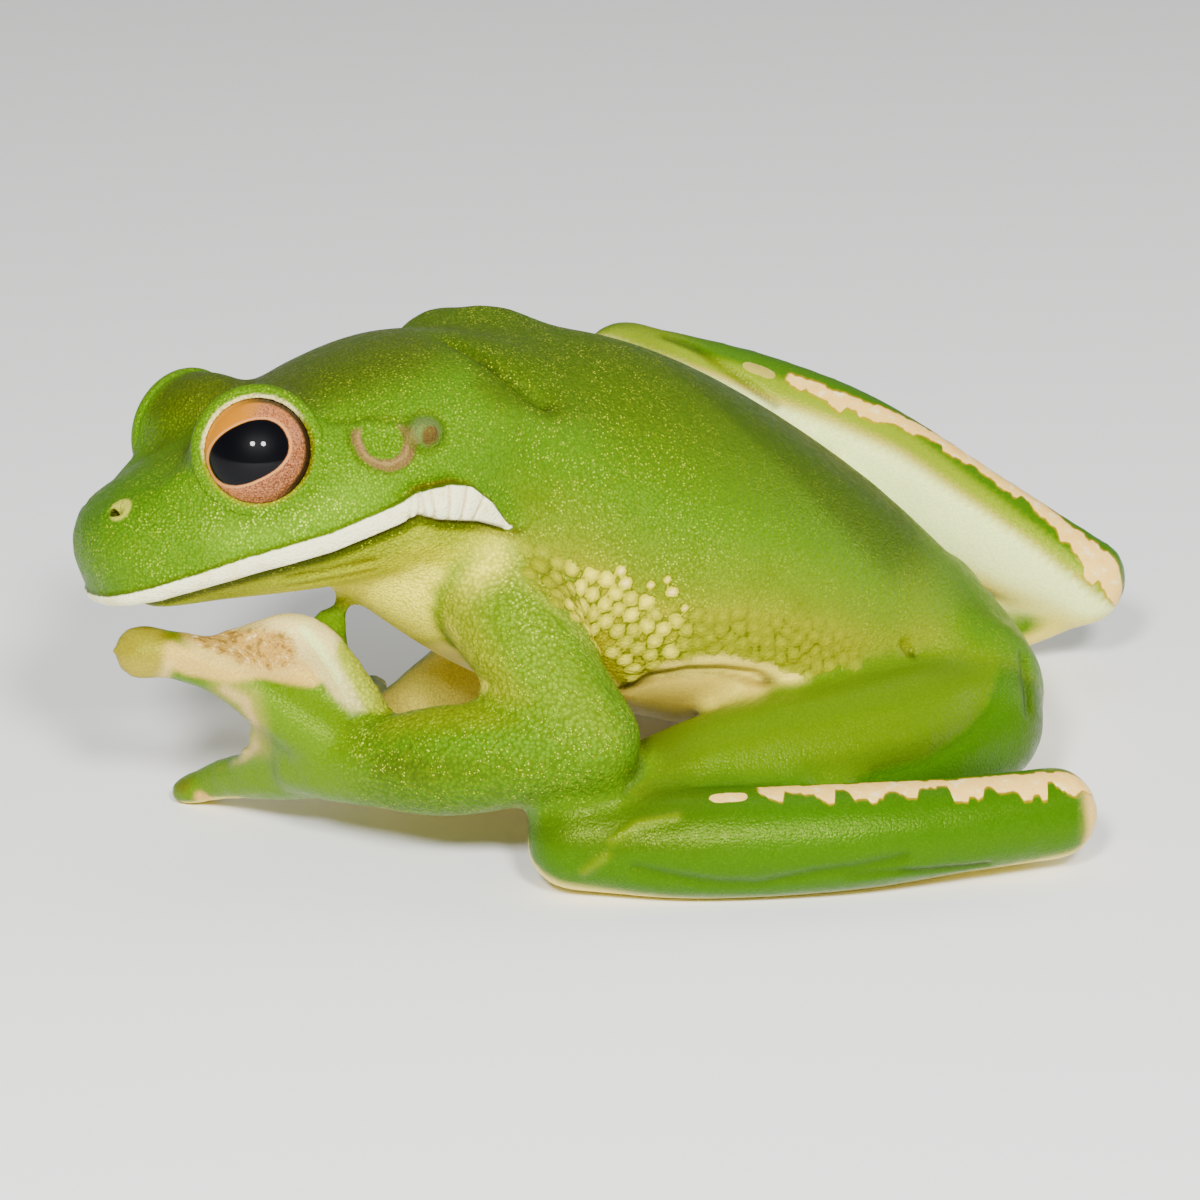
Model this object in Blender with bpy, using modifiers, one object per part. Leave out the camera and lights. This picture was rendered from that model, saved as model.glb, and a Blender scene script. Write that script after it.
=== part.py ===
"""White-lipped tree frog, a still life-size model of an adult crouching with its head raised.

The frog faces -X, its left side is -Y and it rests on the plane z = 0. It is modelled in millimetres:
soft forms are laid together as clay, fused by a voxel remesh, softened where limbs leave the body and
carved along the mouth, lids and skin folds. Thin cuts then part it into named pieces, in metres.
"""

import math

import bmesh
import bpy
import numpy as np
from mathutils import Matrix, Vector

# Driving sizes, in millimetres unless the name says otherwise.
MM = 0.001
CLAY_VOXEL = 0.5
CUT_GAP = 0.3
EYE_RADIUS = 5.6
EYE_SIDE = 10.6
EYE_BACK = 18.0
EYE_UP = 6.2
EYE_AIM = (0.27, 0.93, 0.25)

# The head's own frame: its snout tip, and how it is turned, tipped and rolled.
SNOUT_TIP = Vector((-53.9, -13.4, 31.6))
HEAD_YAW = math.radians(17)
HEAD_TIP = math.radians(12)
HEAD_ROLL = math.radians(12)

# Head stations: distance behind the snout tip, half width, height over and depth under the head's axis.
HEAD_STATIONS = (
    (0.0, 0.6, 0.4, -0.8),
    (0.5, 3.4, 2.2, -3.0),
    (1.6, 5.8, 3.7, -4.8),
    (3.6, 8.0, 5.0, -6.0),
    (7.0, 10.2, 6.3, -7.0),
    (12.0, 12.6, 7.5, -8.0),
    (18.0, 15.0, 9.1, -9.4),
    (25.0, 17.2, 10.9, -10.8),
    (32.0, 18.6, 11.8, -12.2),
    (38.0, 17.8, 11.6, -12.8),
    (44.0, 15.0, 9.8, -11.4),
    (50.0, 11.8, 6.4, -8.2),
    (56.0, 7.0, 2.0, -4.0),
)

# Torso stations along X: x, middle y, half width, top z and bottom z.
TORSO_STATIONS = (
    (-30.0, -3.5, 9.0, 38.0, 27.0),
    (-25.0, -2.0, 14.0, 44.0, 22.5),
    (-18.0, 0.5, 20.0, 47.5, 17.0),
    (-10.0, 2.0, 21.8, 48.5, 12.5),
    (0.0, 3.5, 22.0, 47.0, 9.0),
    (10.0, 4.0, 22.5, 43.0, 6.5),
    (20.0, 4.0, 21.0, 37.0, 5.0),
    (30.0, 3.5, 17.0, 29.5, 4.0),
    (38.0, 2.0, 13.5, 22.0, 3.5),
    (44.0, 1.0, 9.5, 16.0, 3.5),
    (48.0, 0.5, 3.0, 10.0, 5.0),
)

RING_POINTS = 40

# The mouth on the head's side: distance behind the snout tip, height over the head's axis, and lip width.
MOUTH_LINE = ((0, -4.9), (4, -5.0), (13, -4.7), (21, -4.7), (27.5, -4.0), (29.6, -3.6), (31.4, -4.8),
              (35.5, -6.5), (38.4, -8.4))
LIP_WIDTH = ((0, 1.5), (4, 1.8), (25, 2.1), (29.5, 2.0), (31.2, 3.2), (35.3, 3.9), (37.1, 3.0), (38.6, 0.6))
MOUTH_END = 39.2

# The neck cut seen from the side, in the same two measures.
NECK_CUT = ((41.0, 40.0), (40.6, 4.0), (40.2, -10.0), (33.0, -14.5), (22.0, -30.0))

FLOOR_PRESS = 0.35

# Where the clay is smoothed so that no seam of its lumps is left: centre and radius.
WIDE_BLENDS = (((-16, -3, 40), 26), ((-13, -14, 28), 14), ((-11, 15, 28), 14), ((37, 0, 12), 20),
               ((-13, 0, 46), 20))
DEEP_BLENDS = (((-7, -14, 40), 15), ((-6, 17, 38), 15), ((-13, 2, 48), 12), ((44, 1, 12), 15))

# Triangles of each body part's skin before it is cut.
TRIANGLES = {"body": 6100, "arm_left": 2100, "arm_right": 1200, "thigh_left": 420, "thigh_right": 420,
             "shank_left": 800, "shank_right": 420, "foot_left": 1100, "foot_right": 1100}

SKIN_COLOUR, SKIN_ROUGHNESS = (0.14, 0.36, 0.03), 0.5
EYE_COLOUR, EYE_ROUGHNESS = (0.35, 0.14, 0.03), 0.25


def head_axes():
    """The head's forward, left and up directions in the frog's frame."""
    forward = Vector((-math.cos(HEAD_YAW) * math.cos(HEAD_TIP), -math.sin(HEAD_YAW) * math.cos(HEAD_TIP),
                      -math.sin(HEAD_TIP)))
    left = Vector((math.sin(HEAD_YAW), -math.cos(HEAD_YAW), 0.0))
    up = forward.cross(left)
    roll = Matrix.Rotation(HEAD_ROLL, 3, forward)
    return forward, roll @ left, roll @ up


def head_point(back, left, up):
    """A point of the head: its distance behind the snout tip, to the frog's left and over the head's axis."""
    forward, side, above = head_axes()
    return SNOUT_TIP - forward * back + side * left + above * up


def smooth_stations(stations, steps):
    """Rows between the stations, read from smooth curves that pass through them."""
    rows = np.array(stations)
    ends = np.vstack([2 * rows[0] - rows[1], rows, 2 * rows[-1] - rows[-2]])
    made = []
    for i in range(len(rows) - 1):
        p0, p1, p2, p3 = ends[i : i + 4]
        for step in range(steps):
            t = step / steps
            made.append(0.5 * (2 * p1 + (p2 - p0) * t + (2 * p0 - 5 * p1 + 4 * p2 - p3) * t ** 2
                               + (3 * p1 - p0 - 3 * p2 + p3) * t ** 3))
    made.append(rows[-1])
    return np.array(made)


def new_piece(name, bm, collection=None):
    """A mesh object made from a bmesh, in the clay collection unless another is named."""
    mesh = bpy.data.meshes.new(name)
    bm.to_mesh(mesh)
    bm.free()
    piece = bpy.data.objects.new(name, mesh)
    (collection or CLAY).objects.link(piece)
    return piece


def loft(name, rings, collection=None):
    """A closed skin through rings of points, each as long as the next."""
    bm = bmesh.new()
    rows = [[bm.verts.new(point) for point in ring] for ring in rings]
    for near, far in zip(rows, rows[1:]):
        for i in range(len(near)):
            j = (i + 1) % len(near)
            bm.faces.new((near[i], near[j], far[j], far[i]))
    bm.faces.new(rows[0][::-1])
    bm.faces.new(rows[-1])
    bmesh.ops.recalc_face_normals(bm, faces=bm.faces)
    return new_piece(name, bm, collection)


def ring_of(middle, side, above, half_width, top, bottom, squareness):
    """One section of the head or torso: a superellipse with its widest line a little under its middle."""
    points = []
    waist = bottom + (top - bottom) * 0.42
    for i in range(RING_POINTS):
        turn = 2 * math.pi * i / RING_POINTS
        c, s = math.cos(turn), math.sin(turn)
        across = math.copysign(abs(c) ** (2 / squareness), c) * half_width
        height = math.copysign(abs(s) ** (2 / squareness), s)
        rise = waist + height * ((top - waist) if s > 0 else (waist - bottom))
        points.append(middle + side * across + above * rise)
    return points


def make_head():
    forward, side, above = head_axes()
    rings = []
    for back, half_width, top, bottom in smooth_stations(HEAD_STATIONS, 3):
        rings.append(ring_of(SNOUT_TIP - forward * back, side, above, half_width, top, bottom, 2.35))
    return loft("head_clay", rings)


def make_torso():
    rings = []
    for x, y, half_width, top, bottom in smooth_stations(TORSO_STATIONS, 3):
        middle = Vector((x, y, 0.0))
        rings.append(ring_of(middle, Vector((0, -1, 0)), Vector((0, 0, 1)), half_width, top, bottom, 2.2))
    return loft("torso_clay", rings)


def lump(name, centre, radii, aim=(1, 0, 0), top=(0, 0, 1)):
    """An ellipsoid: its first radius lies along aim, its third as near to top as it can."""
    bm = bmesh.new()
    bmesh.ops.create_uvsphere(bm, u_segments=32, v_segments=20, radius=1.0)
    x = Vector(aim).normalized()
    y = Vector(top).cross(x).normalized()
    z = x.cross(y)
    turn = Matrix((x, y, z)).transposed().to_4x4()
    place = Matrix.Translation(centre) @ turn @ Matrix.Diagonal((*radii, 1.0))
    bmesh.ops.transform(bm, matrix=place, verts=bm.verts)
    return new_piece(name, bm)


def limb(name, stations, flatten=1.0, top=(0, 0, 1)):
    """A round limb along a smooth curve of stations, each a point and a radius, flattened along top."""
    curve = bpy.data.curves.new(name, "CURVE")
    curve.dimensions = "3D"
    curve.bevel_depth = 1.0
    curve.bevel_resolution = 5
    curve.use_fill_caps = True
    rows = smooth_stations([(*point, radius) for point, radius in stations], 5)
    spline = curve.splines.new("POLY")
    spline.points.add(len(rows) - 1)
    for point, (x, y, z, radius) in zip(spline.points, rows):
        point.co = (x, y, z, 1.0)
        point.radius = radius
    holder = bpy.data.objects.new(name, curve)
    CLAY.objects.link(holder)
    bpy.context.view_layer.update()
    mesh = bpy.data.meshes.new_from_object(holder.evaluated_get(bpy.context.evaluated_depsgraph_get()))
    bpy.data.objects.remove(holder)
    bm = bmesh.new()
    bm.from_mesh(mesh)
    bpy.data.meshes.remove(mesh)
    bmesh.ops.remove_doubles(bm, verts=bm.verts, dist=0.0001)
    for x, y, z, radius in (rows[0], rows[-1]):
        bmesh.ops.create_icosphere(bm, subdivisions=3, radius=radius, matrix=Matrix.Translation((x, y, z)))
    if flatten != 1.0:
        middle = Vector(rows[:, :3].mean(axis=0))
        direction = Vector(top).normalized()
        for vert in bm.verts:
            vert.co -= direction * ((vert.co - middle).dot(direction) * (1 - flatten))
    return new_piece(name, bm)


def web(name, *panels, radius=0.7):
    """Webs: each panel is the hull of small balls, of the given radius, at its corners."""
    for i, corners in enumerate(panels):
        bm = bmesh.new()
        for corner in corners:
            bmesh.ops.create_icosphere(bm, subdivisions=2, radius=radius, matrix=Matrix.Translation(corner))
        hull = bmesh.ops.convex_hull(bm, input=bm.verts)
        inside = [g for g in hull["geom_interior"] if isinstance(g, bmesh.types.BMVert)]
        bmesh.ops.delete(bm, geom=inside, context="VERTS")
        new_piece(f"{name}_{i}", bm)


def eye_frame(sign):
    """Centre and axis of an eyeball; sign is 1 on the left and -1 on the right."""
    forward, side, above = head_axes()
    ahead, out, up = EYE_AIM
    axis = (forward * ahead + side * (out * sign) + above * up).normalized()
    return head_point(EYE_BACK, EYE_SIDE * sign, EYE_UP), axis


def ring_points(centre, axis, radius, count, start=0.0, turn=2 * math.pi):
    across = axis.cross(Vector((0, 0, 1))).normalized()
    above = across.cross(axis)
    angles = [start + turn * i / (count - 1) for i in range(count)]
    return [centre + across * (math.cos(a) * radius) + above * (math.sin(a) * radius) for a in angles]


def make_head_forms():
    """Eye bulges with lid rims, the ridge from eye to nostril, and the fold from the drum to the shoulder."""
    for sign in (1, -1):
        centre, axis = eye_frame(sign)
        lump("bulge", centre - axis * 2.2, (6.9, 6.9, 6.9))
        limb("lid", [(p, 0.95) for p in ring_points(centre + axis * 1.9, axis, 5.75, 17)])
        limb("canthus", [(head_point(5.5, 4.6 * sign, 2.4), 2.0), (head_point(10.0, 7.0 * sign, 3.6), 2.8),
                         (head_point(15.0, 9.0 * sign, 4.4), 3.8)])
        fold = [(head_point(26.0, 13.5 * sign, 3.5), 2.4), (head_point(33.0, 14.4 * sign, 4.0), 2.8),
                (head_point(40.0, 14.2 * sign, 2.0), 3.2), (head_point(48.0, 12.0 * sign, -2.0), 3.4)]
        limb("drum_fold", fold)


def make_torso_forms():
    """Shoulder blades, the roots of the arms, and the rump over the roots of the thighs."""
    lump("blade_l", (-17.0, -8.5, 43.4), (9.5, 6.5, 6.6), (1.0, 0.2, -0.2))
    lump("blade_r", (-11.2, 11.0, 43.0), (9.8, 7.0, 6.5), (1.0, -0.1, -0.15))
    lump("root_arm_l", (-13.0, -13.5, 28.5), (8.0, 7.0, 8.5), (0.5, -0.3, -0.6))
    lump("root_arm_r", (-11.0, 15.0, 27.5), (8.0, 7.0, 8.5), (0.5, 0.3, -0.6))
    lump("rump_l", (37.5, -8.5, 11.0), (8.5, 7.5, 8.5))
    lump("rump_r", (36.0, 10.5, 12.0), (8.5, 7.5, 8.5))


def make_arm_left():
    """The near arm bends over the knee and its hand grips forward, with the webs open."""
    wrist = (-26, -19, 10.6)
    low = (-42.6, -1.6, 2.0)
    high = (-47.8, -13.6, 21.8)
    limb("upper_arm_l", [((-14, -13, 29), 7.0), ((-11, -20, 25), 6.4), ((-8, -25.5, 20), 5.6),
                         ((-5.4, -28.6, 15.8), 5.6)])
    limb("forearm_l", [((-5.4, -28.6, 15.8), 5.4), ((-12, -27.4, 14.5), 5.4), ((-19, -23.8, 12.6), 5.6),
                       ((-26, -19, 10.8), 4.5)])
    limb("palm_l", [(wrist, 4.3), ((-29.5, -16.5, 9.9), 3.9), ((-32.5, -14.5, 9.2), 2.9)])
    limb("finger_low", [((-29, -15.5, 9.2), 3.2), ((-34, -11.0, 6.8), 2.7), ((-38.8, -5.6, 4.6), 2.3),
                        (low, 1.7)])
    limb("finger_high", [((-28.5, -17, 11.6), 3.7), ((-34, -15.5, 15.4), 3.1), ((-40, -14.5, 19.8), 2.7),
                         ((-44.6, -13.9, 21.4), 2.5), (high, 2.2)])
    limb("finger_inner", [((-25.0, -16.6, 13.0), 2.6), ((-26.2, -16.0, 16.0), 2.2),
                          ((-28.2, -15.0, 19.4), 2.0), ((-30.4, -14.0, 22.2), 2.0),
                          ((-33.5, -13.0, 23.0), 2.0), ((-37.0, -12.8, 22.2), 1.8)])
    limb("finger_thumb", [((-27.6, -14.5, 12.5), 2.3), ((-28.0, -12.0, 17.0), 1.8),
                          ((-28.8, -10.6, 21.0), 1.5)])
    lump("disc_thumb", (-29.0, -10.2, 22.4), (2.2, 2.0, 1.2), (0.0, 0.4, 0.9))
    lump("disc_low", low, (3.0, 2.6, 1.6), (-4, 4, -2))
    lump("disc_high", high, (3.2, 2.9, 1.8), (-6, 1, 1), (0.3, -0.8, 0.5))
    lump("disc_inner", (-38.8, -12.9, 21.6), (2.4, 2.2, 1.3), (-3.5, -1, -1.5), (0.3, -0.8, 0.5))
    web("web_l", ((-28, -17, 11.6), (-28, -16, 8.9), (-36.9, -14.2, 14.2)),
        ((-28, -17, 11.6), (-36.9, -14.2, 14.2), (-40.2, -14.8, 18.0)),
        ((-28, -16, 8.9), (-36.9, -14.2, 14.2), (-37.4, -11.6, 10.4)),
        ((-29, -15, 8.5), (-37.4, -11.6, 10.4), (-38.8, -7.4, 6.6)),
        ((-27.5, -15.8, 14.0), (-36, -15, 17), (-30, -14, 21.0)),
        ((-36, -15, 17), (-30, -14, 21.0), (-34, -13.3, 22.4)),
        ((-36, -15, 17), (-34, -13.3, 22.4), (-40, -13.8, 21.6)),
        ((-46.5, -13.6, 22.6), (-39.0, -13.4, 22.3), (-38, -14.5, 18.5)))


def fan(name, roots, tips, root_radius, disc, web_reach):
    """Fingers or toes lying on the floor, each with a disc at its tip, and the webs between them."""
    for i, (root, tip) in enumerate(zip(roots, tips)):
        middle = (Vector(root) + Vector(tip)) / 2 + Vector((0, 0, 0.7))
        limb(f"{name}_{i}", [(root, root_radius), (middle, 1.5), (tip, 1.2)])
        lump(f"{name}_disc_{i}", tip, disc, Vector(tip) - Vector(root))
    for i in range(len(roots) - 1):
        a, b = Vector(roots[i]), Vector(roots[i + 1])
        reach = [a.lerp(Vector(tips[i]), web_reach), b.lerp(Vector(tips[i + 1]), web_reach)]
        edge = (reach[0] + reach[1]) / 2
        dip = edge + ((a + b) / 2 - edge) * 0.3
        web(f"{name}_web_{i}", (a, b, dip), (a, reach[0], dip), (b, reach[1], dip), radius=0.65)


def make_arm_right():
    """The far arm props the chest and its hand lies on the floor."""
    limb("upper_arm_r", [((-12, 14, 28), 7.0), ((-7, 20, 22), 6.0), ((-2, 25, 15), 5.4),
                         ((0, 26.5, 10), 5.0)])
    limb("forearm_r", [((0, 26.5, 10), 5.0), ((-6, 22.5, 7.5), 5.2), ((-12, 18, 5.6), 4.6),
                       ((-17, 15, 4.4), 3.6)])
    limb("palm_r", [((-17, 15, 4.4), 3.6), ((-21, 13, 3.0), 3.2), ((-23.5, 11.8, 2.4), 2.4)], 0.85)
    roots = ((-21.5, 15.5, 2.4), (-23.5, 13.5, 2.3), (-23.8, 10.8, 2.3), (-22.0, 8.5, 2.4))
    tips = ((-22.0, 26.5, 1.3), (-32.0, 20.0, 1.3), (-33.0, 8.0, 1.3), (-26.0, -0.5, 1.3))
    fan("finger_r", roots, tips, 1.9, (2.6, 2.4, 1.25), 0.6)


def make_thigh_right():
    limb("thigh_r", [((31, 14, 14), 8.0), ((27, 22, 17), 8.0), ((19, 31, 24), 7.2), ((13, 36.6, 28.6), 6.0),
                     ((10.8, 38.2, 30.2), 5.0)])


def make_shank_right():
    limb("shank_r", [((8.2, 41.5, 33.2), 4.5), ((14, 39.6, 31.5), 4.7), ((22, 36.8, 28.7), 5.3),
                     ((33, 32.5, 23.8), 5.8), ((47, 27, 15.9), 5.2), ((57.5, 22.5, 10.5), 4.4)],
         1.2, (0.5, 0, 0.85))


def make_foot_right():
    """The far foot runs forward from its raised heel and lies on the floor."""
    limb("tarsus_r", [((54.4, 24, 7.4), 3.2), ((49, 26.5, 4.6), 3.0), ((40, 30, 2.7), 2.7),
                      ((31, 33, 2.3), 2.6)], 0.95)
    roots = ((31, 30, 2.2), (29.5, 31.5, 2.2), (29, 33.5, 2.2), (29.5, 35.5, 2.2), (31.5, 36.5, 2.2))
    tips = ((21, 26, 1.3), (10, 29, 1.3), (3.5, 35.5, 1.3), (12, 44, 1.3), (24, 47, 1.3))
    fan("toe_r", roots, tips, 1.9, (2.5, 2.3, 1.25), 0.75)


def make_thigh_left():
    limb("thigh_l", [((37.4, -12, 9.4), 7.5), ((27, -17, 9.2), 7.7), ((15, -20.5, 8.8), 7.4),
                     ((5, -23.6, 8.0), 6.5), ((-1.5, -26, 7.0), 5.2)])


def make_shank_left():
    limb("shank_l", [((-6.5, -29.4, 5.7), 5.0), ((5, -32, 5.8), 5.6), ((20, -33, 6.0), 5.4),
                     ((32, -32.2, 6.3), 4.8), ((41.3, -30.2, 6.1), 4.7)])


def make_foot_left():
    """The near foot is tucked forward under its shank, toes spread under the chest."""
    limb("tarsus_l", [((38.5, -27.2, 3.2), 3.1), ((33, -27.2, 2.8), 2.9), ((23, -26.5, 2.5), 2.7),
                      ((13, -24.5, 2.2), 2.4)], 0.92)
    roots = ((14, -21.5, 2.2), (12, -22.5, 2.2), (11, -24, 2.2), (11, -26, 2.2), (12.5, -27.5, 2.2))
    tips = ((15, -8, 1.3), (5, -8, 1.3), (-4, -11.5, 1.3), (-6, -17.5, 1.3), (-2, -24.5, 1.3))
    fan("toe_l", roots, tips, 1.9, (2.5, 2.3, 1.25), 0.75)


def joined(names):
    """One bmesh of several pieces, which are removed."""
    bm = bmesh.new()
    for piece in names:
        bm.from_mesh(piece.data)
        bpy.data.objects.remove(piece)
    return bm


def fuse(name, makers):
    """Makes clay pieces and fuses them into one skin with a voxel remesh."""
    for make in makers:
        make()
    piece = new_piece(name, joined(list(CLAY.objects)), GROUPS)
    remesh = piece.modifiers.new("fuse", "REMESH")
    remesh.mode = "VOXEL"
    remesh.voxel_size = CLAY_VOXEL
    apply_modifiers(piece)
    return piece


def apply_modifiers(piece):
    bpy.context.view_layer.update()
    made = bpy.data.meshes.new_from_object(piece.evaluated_get(bpy.context.evaluated_depsgraph_get()))
    piece.modifiers.clear()
    old_mesh = piece.data
    piece.data = made
    bpy.data.meshes.remove(old_mesh)


def points_of(piece):
    points = np.empty(len(piece.data.vertices) * 3)
    piece.data.vertices.foreach_get("co", points)
    return points.reshape(-1, 3)


def normals_of(piece):
    normals = np.empty(len(piece.data.vertices) * 3, np.float32)
    piece.data.vertex_normals.foreach_get("vector", normals)
    return normals.reshape(-1, 3).astype(float)


def set_points(piece, points):
    piece.data.vertices.foreach_set("co", points.ravel())
    piece.data.update()


def averager(piece):
    """A function that gives each point the mean of its neighbours."""
    ends = np.empty(len(piece.data.edges) * 2, np.int64)
    piece.data.edges.foreach_get("vertices", ends)
    a, b = ends.reshape(-1, 2).T
    count = len(piece.data.vertices)
    degree = np.bincount(a, minlength=count) + np.bincount(b, minlength=count)

    def mean(values):
        sums = [np.bincount(a, column[b], count) + np.bincount(b, column[a], count) for column in values.T]
        return np.stack(sums, axis=1) / degree[:, None]

    return mean


def smooth(piece, passes, spots=None):
    """Smooths the whole piece while keeping its size, or only within the given (centre, radius) spots."""
    mean = averager(piece)
    points = points_of(piece)
    if spots is None:
        for _ in range(passes):
            points += 0.5 * (mean(points) - points)
            points -= 0.52 * (mean(points) - points)
    else:
        share = np.zeros(len(points))
        for centre, radius in spots:
            away = np.linalg.norm(points - np.array(centre), axis=1) / radius
            share = np.maximum(share, np.clip(1.6 * (1 - away), 0, 1))
        for _ in range(passes):
            points += (0.5 * share)[:, None] * (mean(points) - points)
    set_points(piece, points)


def head_parts(points):
    """How far each point lies behind the snout tip, out from the head's middle, and over the head's axis."""
    forward, side, above = (np.array(axis) for axis in head_axes())
    away = points - np.array(SNOUT_TIP)
    return -(away @ forward), away @ side, away @ above


def path_distance(points, path):
    """Each point's distance to a path of straight pieces."""
    nearest = np.full(len(points), np.inf)
    for start, end in zip(path, path[1:]):
        a, run = np.array(start), np.array(end) - np.array(start)
        along = np.clip((points - a) @ run / (run @ run), 0, 1)
        nearest = np.minimum(nearest, np.linalg.norm(points - a - along[:, None] * run, axis=1))
    return nearest


def bump(distance, width):
    return np.exp(-((distance / width) ** 2))


def step(values, start, end):
    t = np.clip((values - start) / (end - start), 0, 1)
    return t * t * (3 - 2 * t)


def carve_mouth(points):
    """The line of the mouth with the raised lip over it, which widens and turns down at the corner."""
    back, out, up = head_parts(points)
    line = np.interp(back, *zip(*MOUTH_LINE))
    lip = np.interp(back, *zip(*LIP_WIDTH))
    reach = step(-back, -MOUTH_END, -MOUTH_END + 1.5) * step(np.abs(out) + 30 * (back < 5), 5, 8) * (up < 2)
    rise = up - line
    band = step(rise, 0.0, 0.45) * step(-rise, -lip - 0.5, -lip + 0.1)
    under = bump(rise + 1.6, 1.5) * (rise < 0)
    fold = bump(rise - lip - 0.7, 0.7) * step(back, 27, 30) * step(-back, -36, -33)
    return reach * (0.45 * band - 0.85 * bump(rise + 0.1, 0.42) - 0.35 * under - 0.7 * fold)


def carve_head(points):
    """Nostrils, ear drums, warts and the folds round them, as heights over the skin."""
    heights = carve_mouth(points)
    for sign in (1, -1):
        nostril = [head_point(3.4, 4.5 * sign, 4.5), head_point(4.5, 5.3 * sign, 4.0)]
        away = path_distance(points, nostril)
        heights += 0.35 * bump(away, 1.7) - 1.5 * bump(away, 0.5)
        drum = head_point(28.6, 16.4 * sign, 4.1)
        from_drum = np.linalg.norm(points - np.array(drum), axis=1)
        heights += 0.3 * bump(from_drum - 2.5, 0.7) - 0.35 * bump(from_drum, 1.3)
        wart = [head_point(32.5, 17.3 * sign, 3.7), head_point(33.0, 17.4 * sign, 3.8)]
        heights += 0.8 * bump(path_distance(points, wart), 1.0)
        fold = [head_point(24.5, 13.0 * sign, 7.2), head_point(28.0, 14.8 * sign, 6.8),
                head_point(31.0, 16.4 * sign, 5.6)]
        heights -= 0.4 * bump(path_distance(points, fold), 0.6)
        jaw = [head_point(15.0, 11.5 * sign, -6.3), head_point(21.0, 13.6 * sign, -7.0),
               head_point(28.0, 14.6 * sign, -8.2)]
        heights -= 0.35 * bump(path_distance(points, jaw), 0.7)
    return heights


def carve_torso(points):
    """The crease behind each shoulder blade and the fold where the belly hangs over the near thigh."""
    blade = [(-15.5, -6.8, 50.8), (-12.2, -9.8, 48.9), (-10.0, -11.8, 47.3), (-7.3, -12.4, 45.8)]
    belly = [(0.3, -15.1, 15.6), (3.4, -17.1, 17.7), (8.4, -18.0, 18.4), (12.8, -17.9, 18.0),
             (16.9, -17.2, 16.4)]
    heights = -0.9 * bump(path_distance(points, blade), 1.3)
    heights -= 0.9 * bump(path_distance(points, [(x, 4.0 - y, z) for x, y, z in blade]), 1.3)
    return heights - 0.5 * bump(path_distance(points, belly), 0.8)


def carve_shank_left(points):
    """The skin folds low on the near shank and over its knee."""
    low = [(-1.6, -36.1, 5.1), (1.5, -36.7, 4.4), (6.1, -37.2, 3.5), (10.3, -37.4, 3.2), (15.6, -38.0, 4.3),
           (20.6, -38.1, 4.8), (24.9, -37.9, 5.5)]
    knee = [(-4.4, -35.3, 6.2), (-3.9, -35.1, 7.7), (-1.2, -34.7, 9.4), (2.6, -35.0, 10.2)]
    return -0.6 * bump(path_distance(points, low), 0.8) - 0.35 * bump(path_distance(points, knee), 0.8)


def carve_thigh_left(points):
    """The groove between the two long muscles of the near thigh."""
    groove = [(37.1, -19.5, 13.3), (34.6, -21.5, 11.7), (30.1, -23.9, 9.9), (24.5, -25.7, 9.5)]
    return -0.7 * bump(path_distance(points, groove), 1.3)


def carve(piece, heights_of):
    points = points_of(piece)
    set_points(piece, points + normals_of(piece) * heights_of(points)[:, None])


def thin(piece, triangles):
    """Reduces a piece to about this many triangles, then flattens what rests on the floor."""
    bm = bmesh.new()
    bm.from_mesh(piece.data)
    bmesh.ops.triangulate(bm, faces=bm.faces)
    bm.to_mesh(piece.data)
    bm.free()
    shrink = piece.modifiers.new("thin", "DECIMATE")
    shrink.ratio = triangles / len(piece.data.polygons)
    apply_modifiers(piece)
    points = points_of(piece)
    points[:, 2] = np.maximum(points[:, 2], FLOOR_PRESS)
    set_points(piece, points)


def boolean(piece, other, operation):
    cut = piece.modifiers.new("cut", "BOOLEAN")
    cut.operation = operation
    cut.object = other
    cut.solver = "MANIFOLD"
    apply_modifiers(piece)


def islands(bm):
    """Groups of joined vertices, the largest first."""
    left = set(bm.verts)
    found = []
    while left:
        front = [left.pop()]
        group = []
        while front:
            vert = front.pop()
            group.append(vert)
            for edge in vert.link_edges:
                other = edge.other_vert(vert)
                if other in left:
                    left.remove(other)
                    front.append(other)
        found.append(group)
    return sorted(found, key=len, reverse=True)


def keep_island(piece, which):
    """Keeps only one of the closed surfaces of a piece, counted from the largest."""
    bm = bmesh.new()
    bm.from_mesh(piece.data)
    groups = islands(bm)
    gone = [vert for i, group in enumerate(groups) if i != which for vert in group]
    bmesh.ops.delete(bm, geom=gone, context="VERTS")
    bm.to_mesh(piece.data)
    bm.free()


def as_cutter(piece):
    """Marks a piece as a cutter: it shows as wire and stays out of a render."""
    piece.hide_render = True
    piece.display_type = "WIRE"
    return piece


def inflated(piece, by):
    """A cutter a little larger all round than a piece."""
    copy = piece.copy()
    copy.data = piece.data.copy()
    CUTTERS.objects.link(copy)
    set_points(copy, points_of(copy) + normals_of(copy) * by)
    return as_cutter(copy)


def clear(piece, others):
    """Cuts a piece back from its neighbours, so that they meet face to face across the cut gap."""
    for other in others:
        cutter = inflated(other, CUT_GAP)
        boolean(piece, cutter, "DIFFERENCE")
        bpy.data.objects.remove(cutter)
    keep_island(piece, 0)


def slab(centre, normal, radius):
    """A thin round cutter square to normal."""
    bm = bmesh.new()
    turn = Vector((0, 0, 1)).rotation_difference(Vector(normal).normalized()).to_matrix().to_4x4()
    bmesh.ops.create_cone(bm, cap_ends=True, segments=24, radius1=radius, radius2=radius, depth=CUT_GAP,
                          matrix=Matrix.Translation(centre) @ turn)
    return as_cutter(new_piece("slab", bm, CUTTERS))


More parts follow.
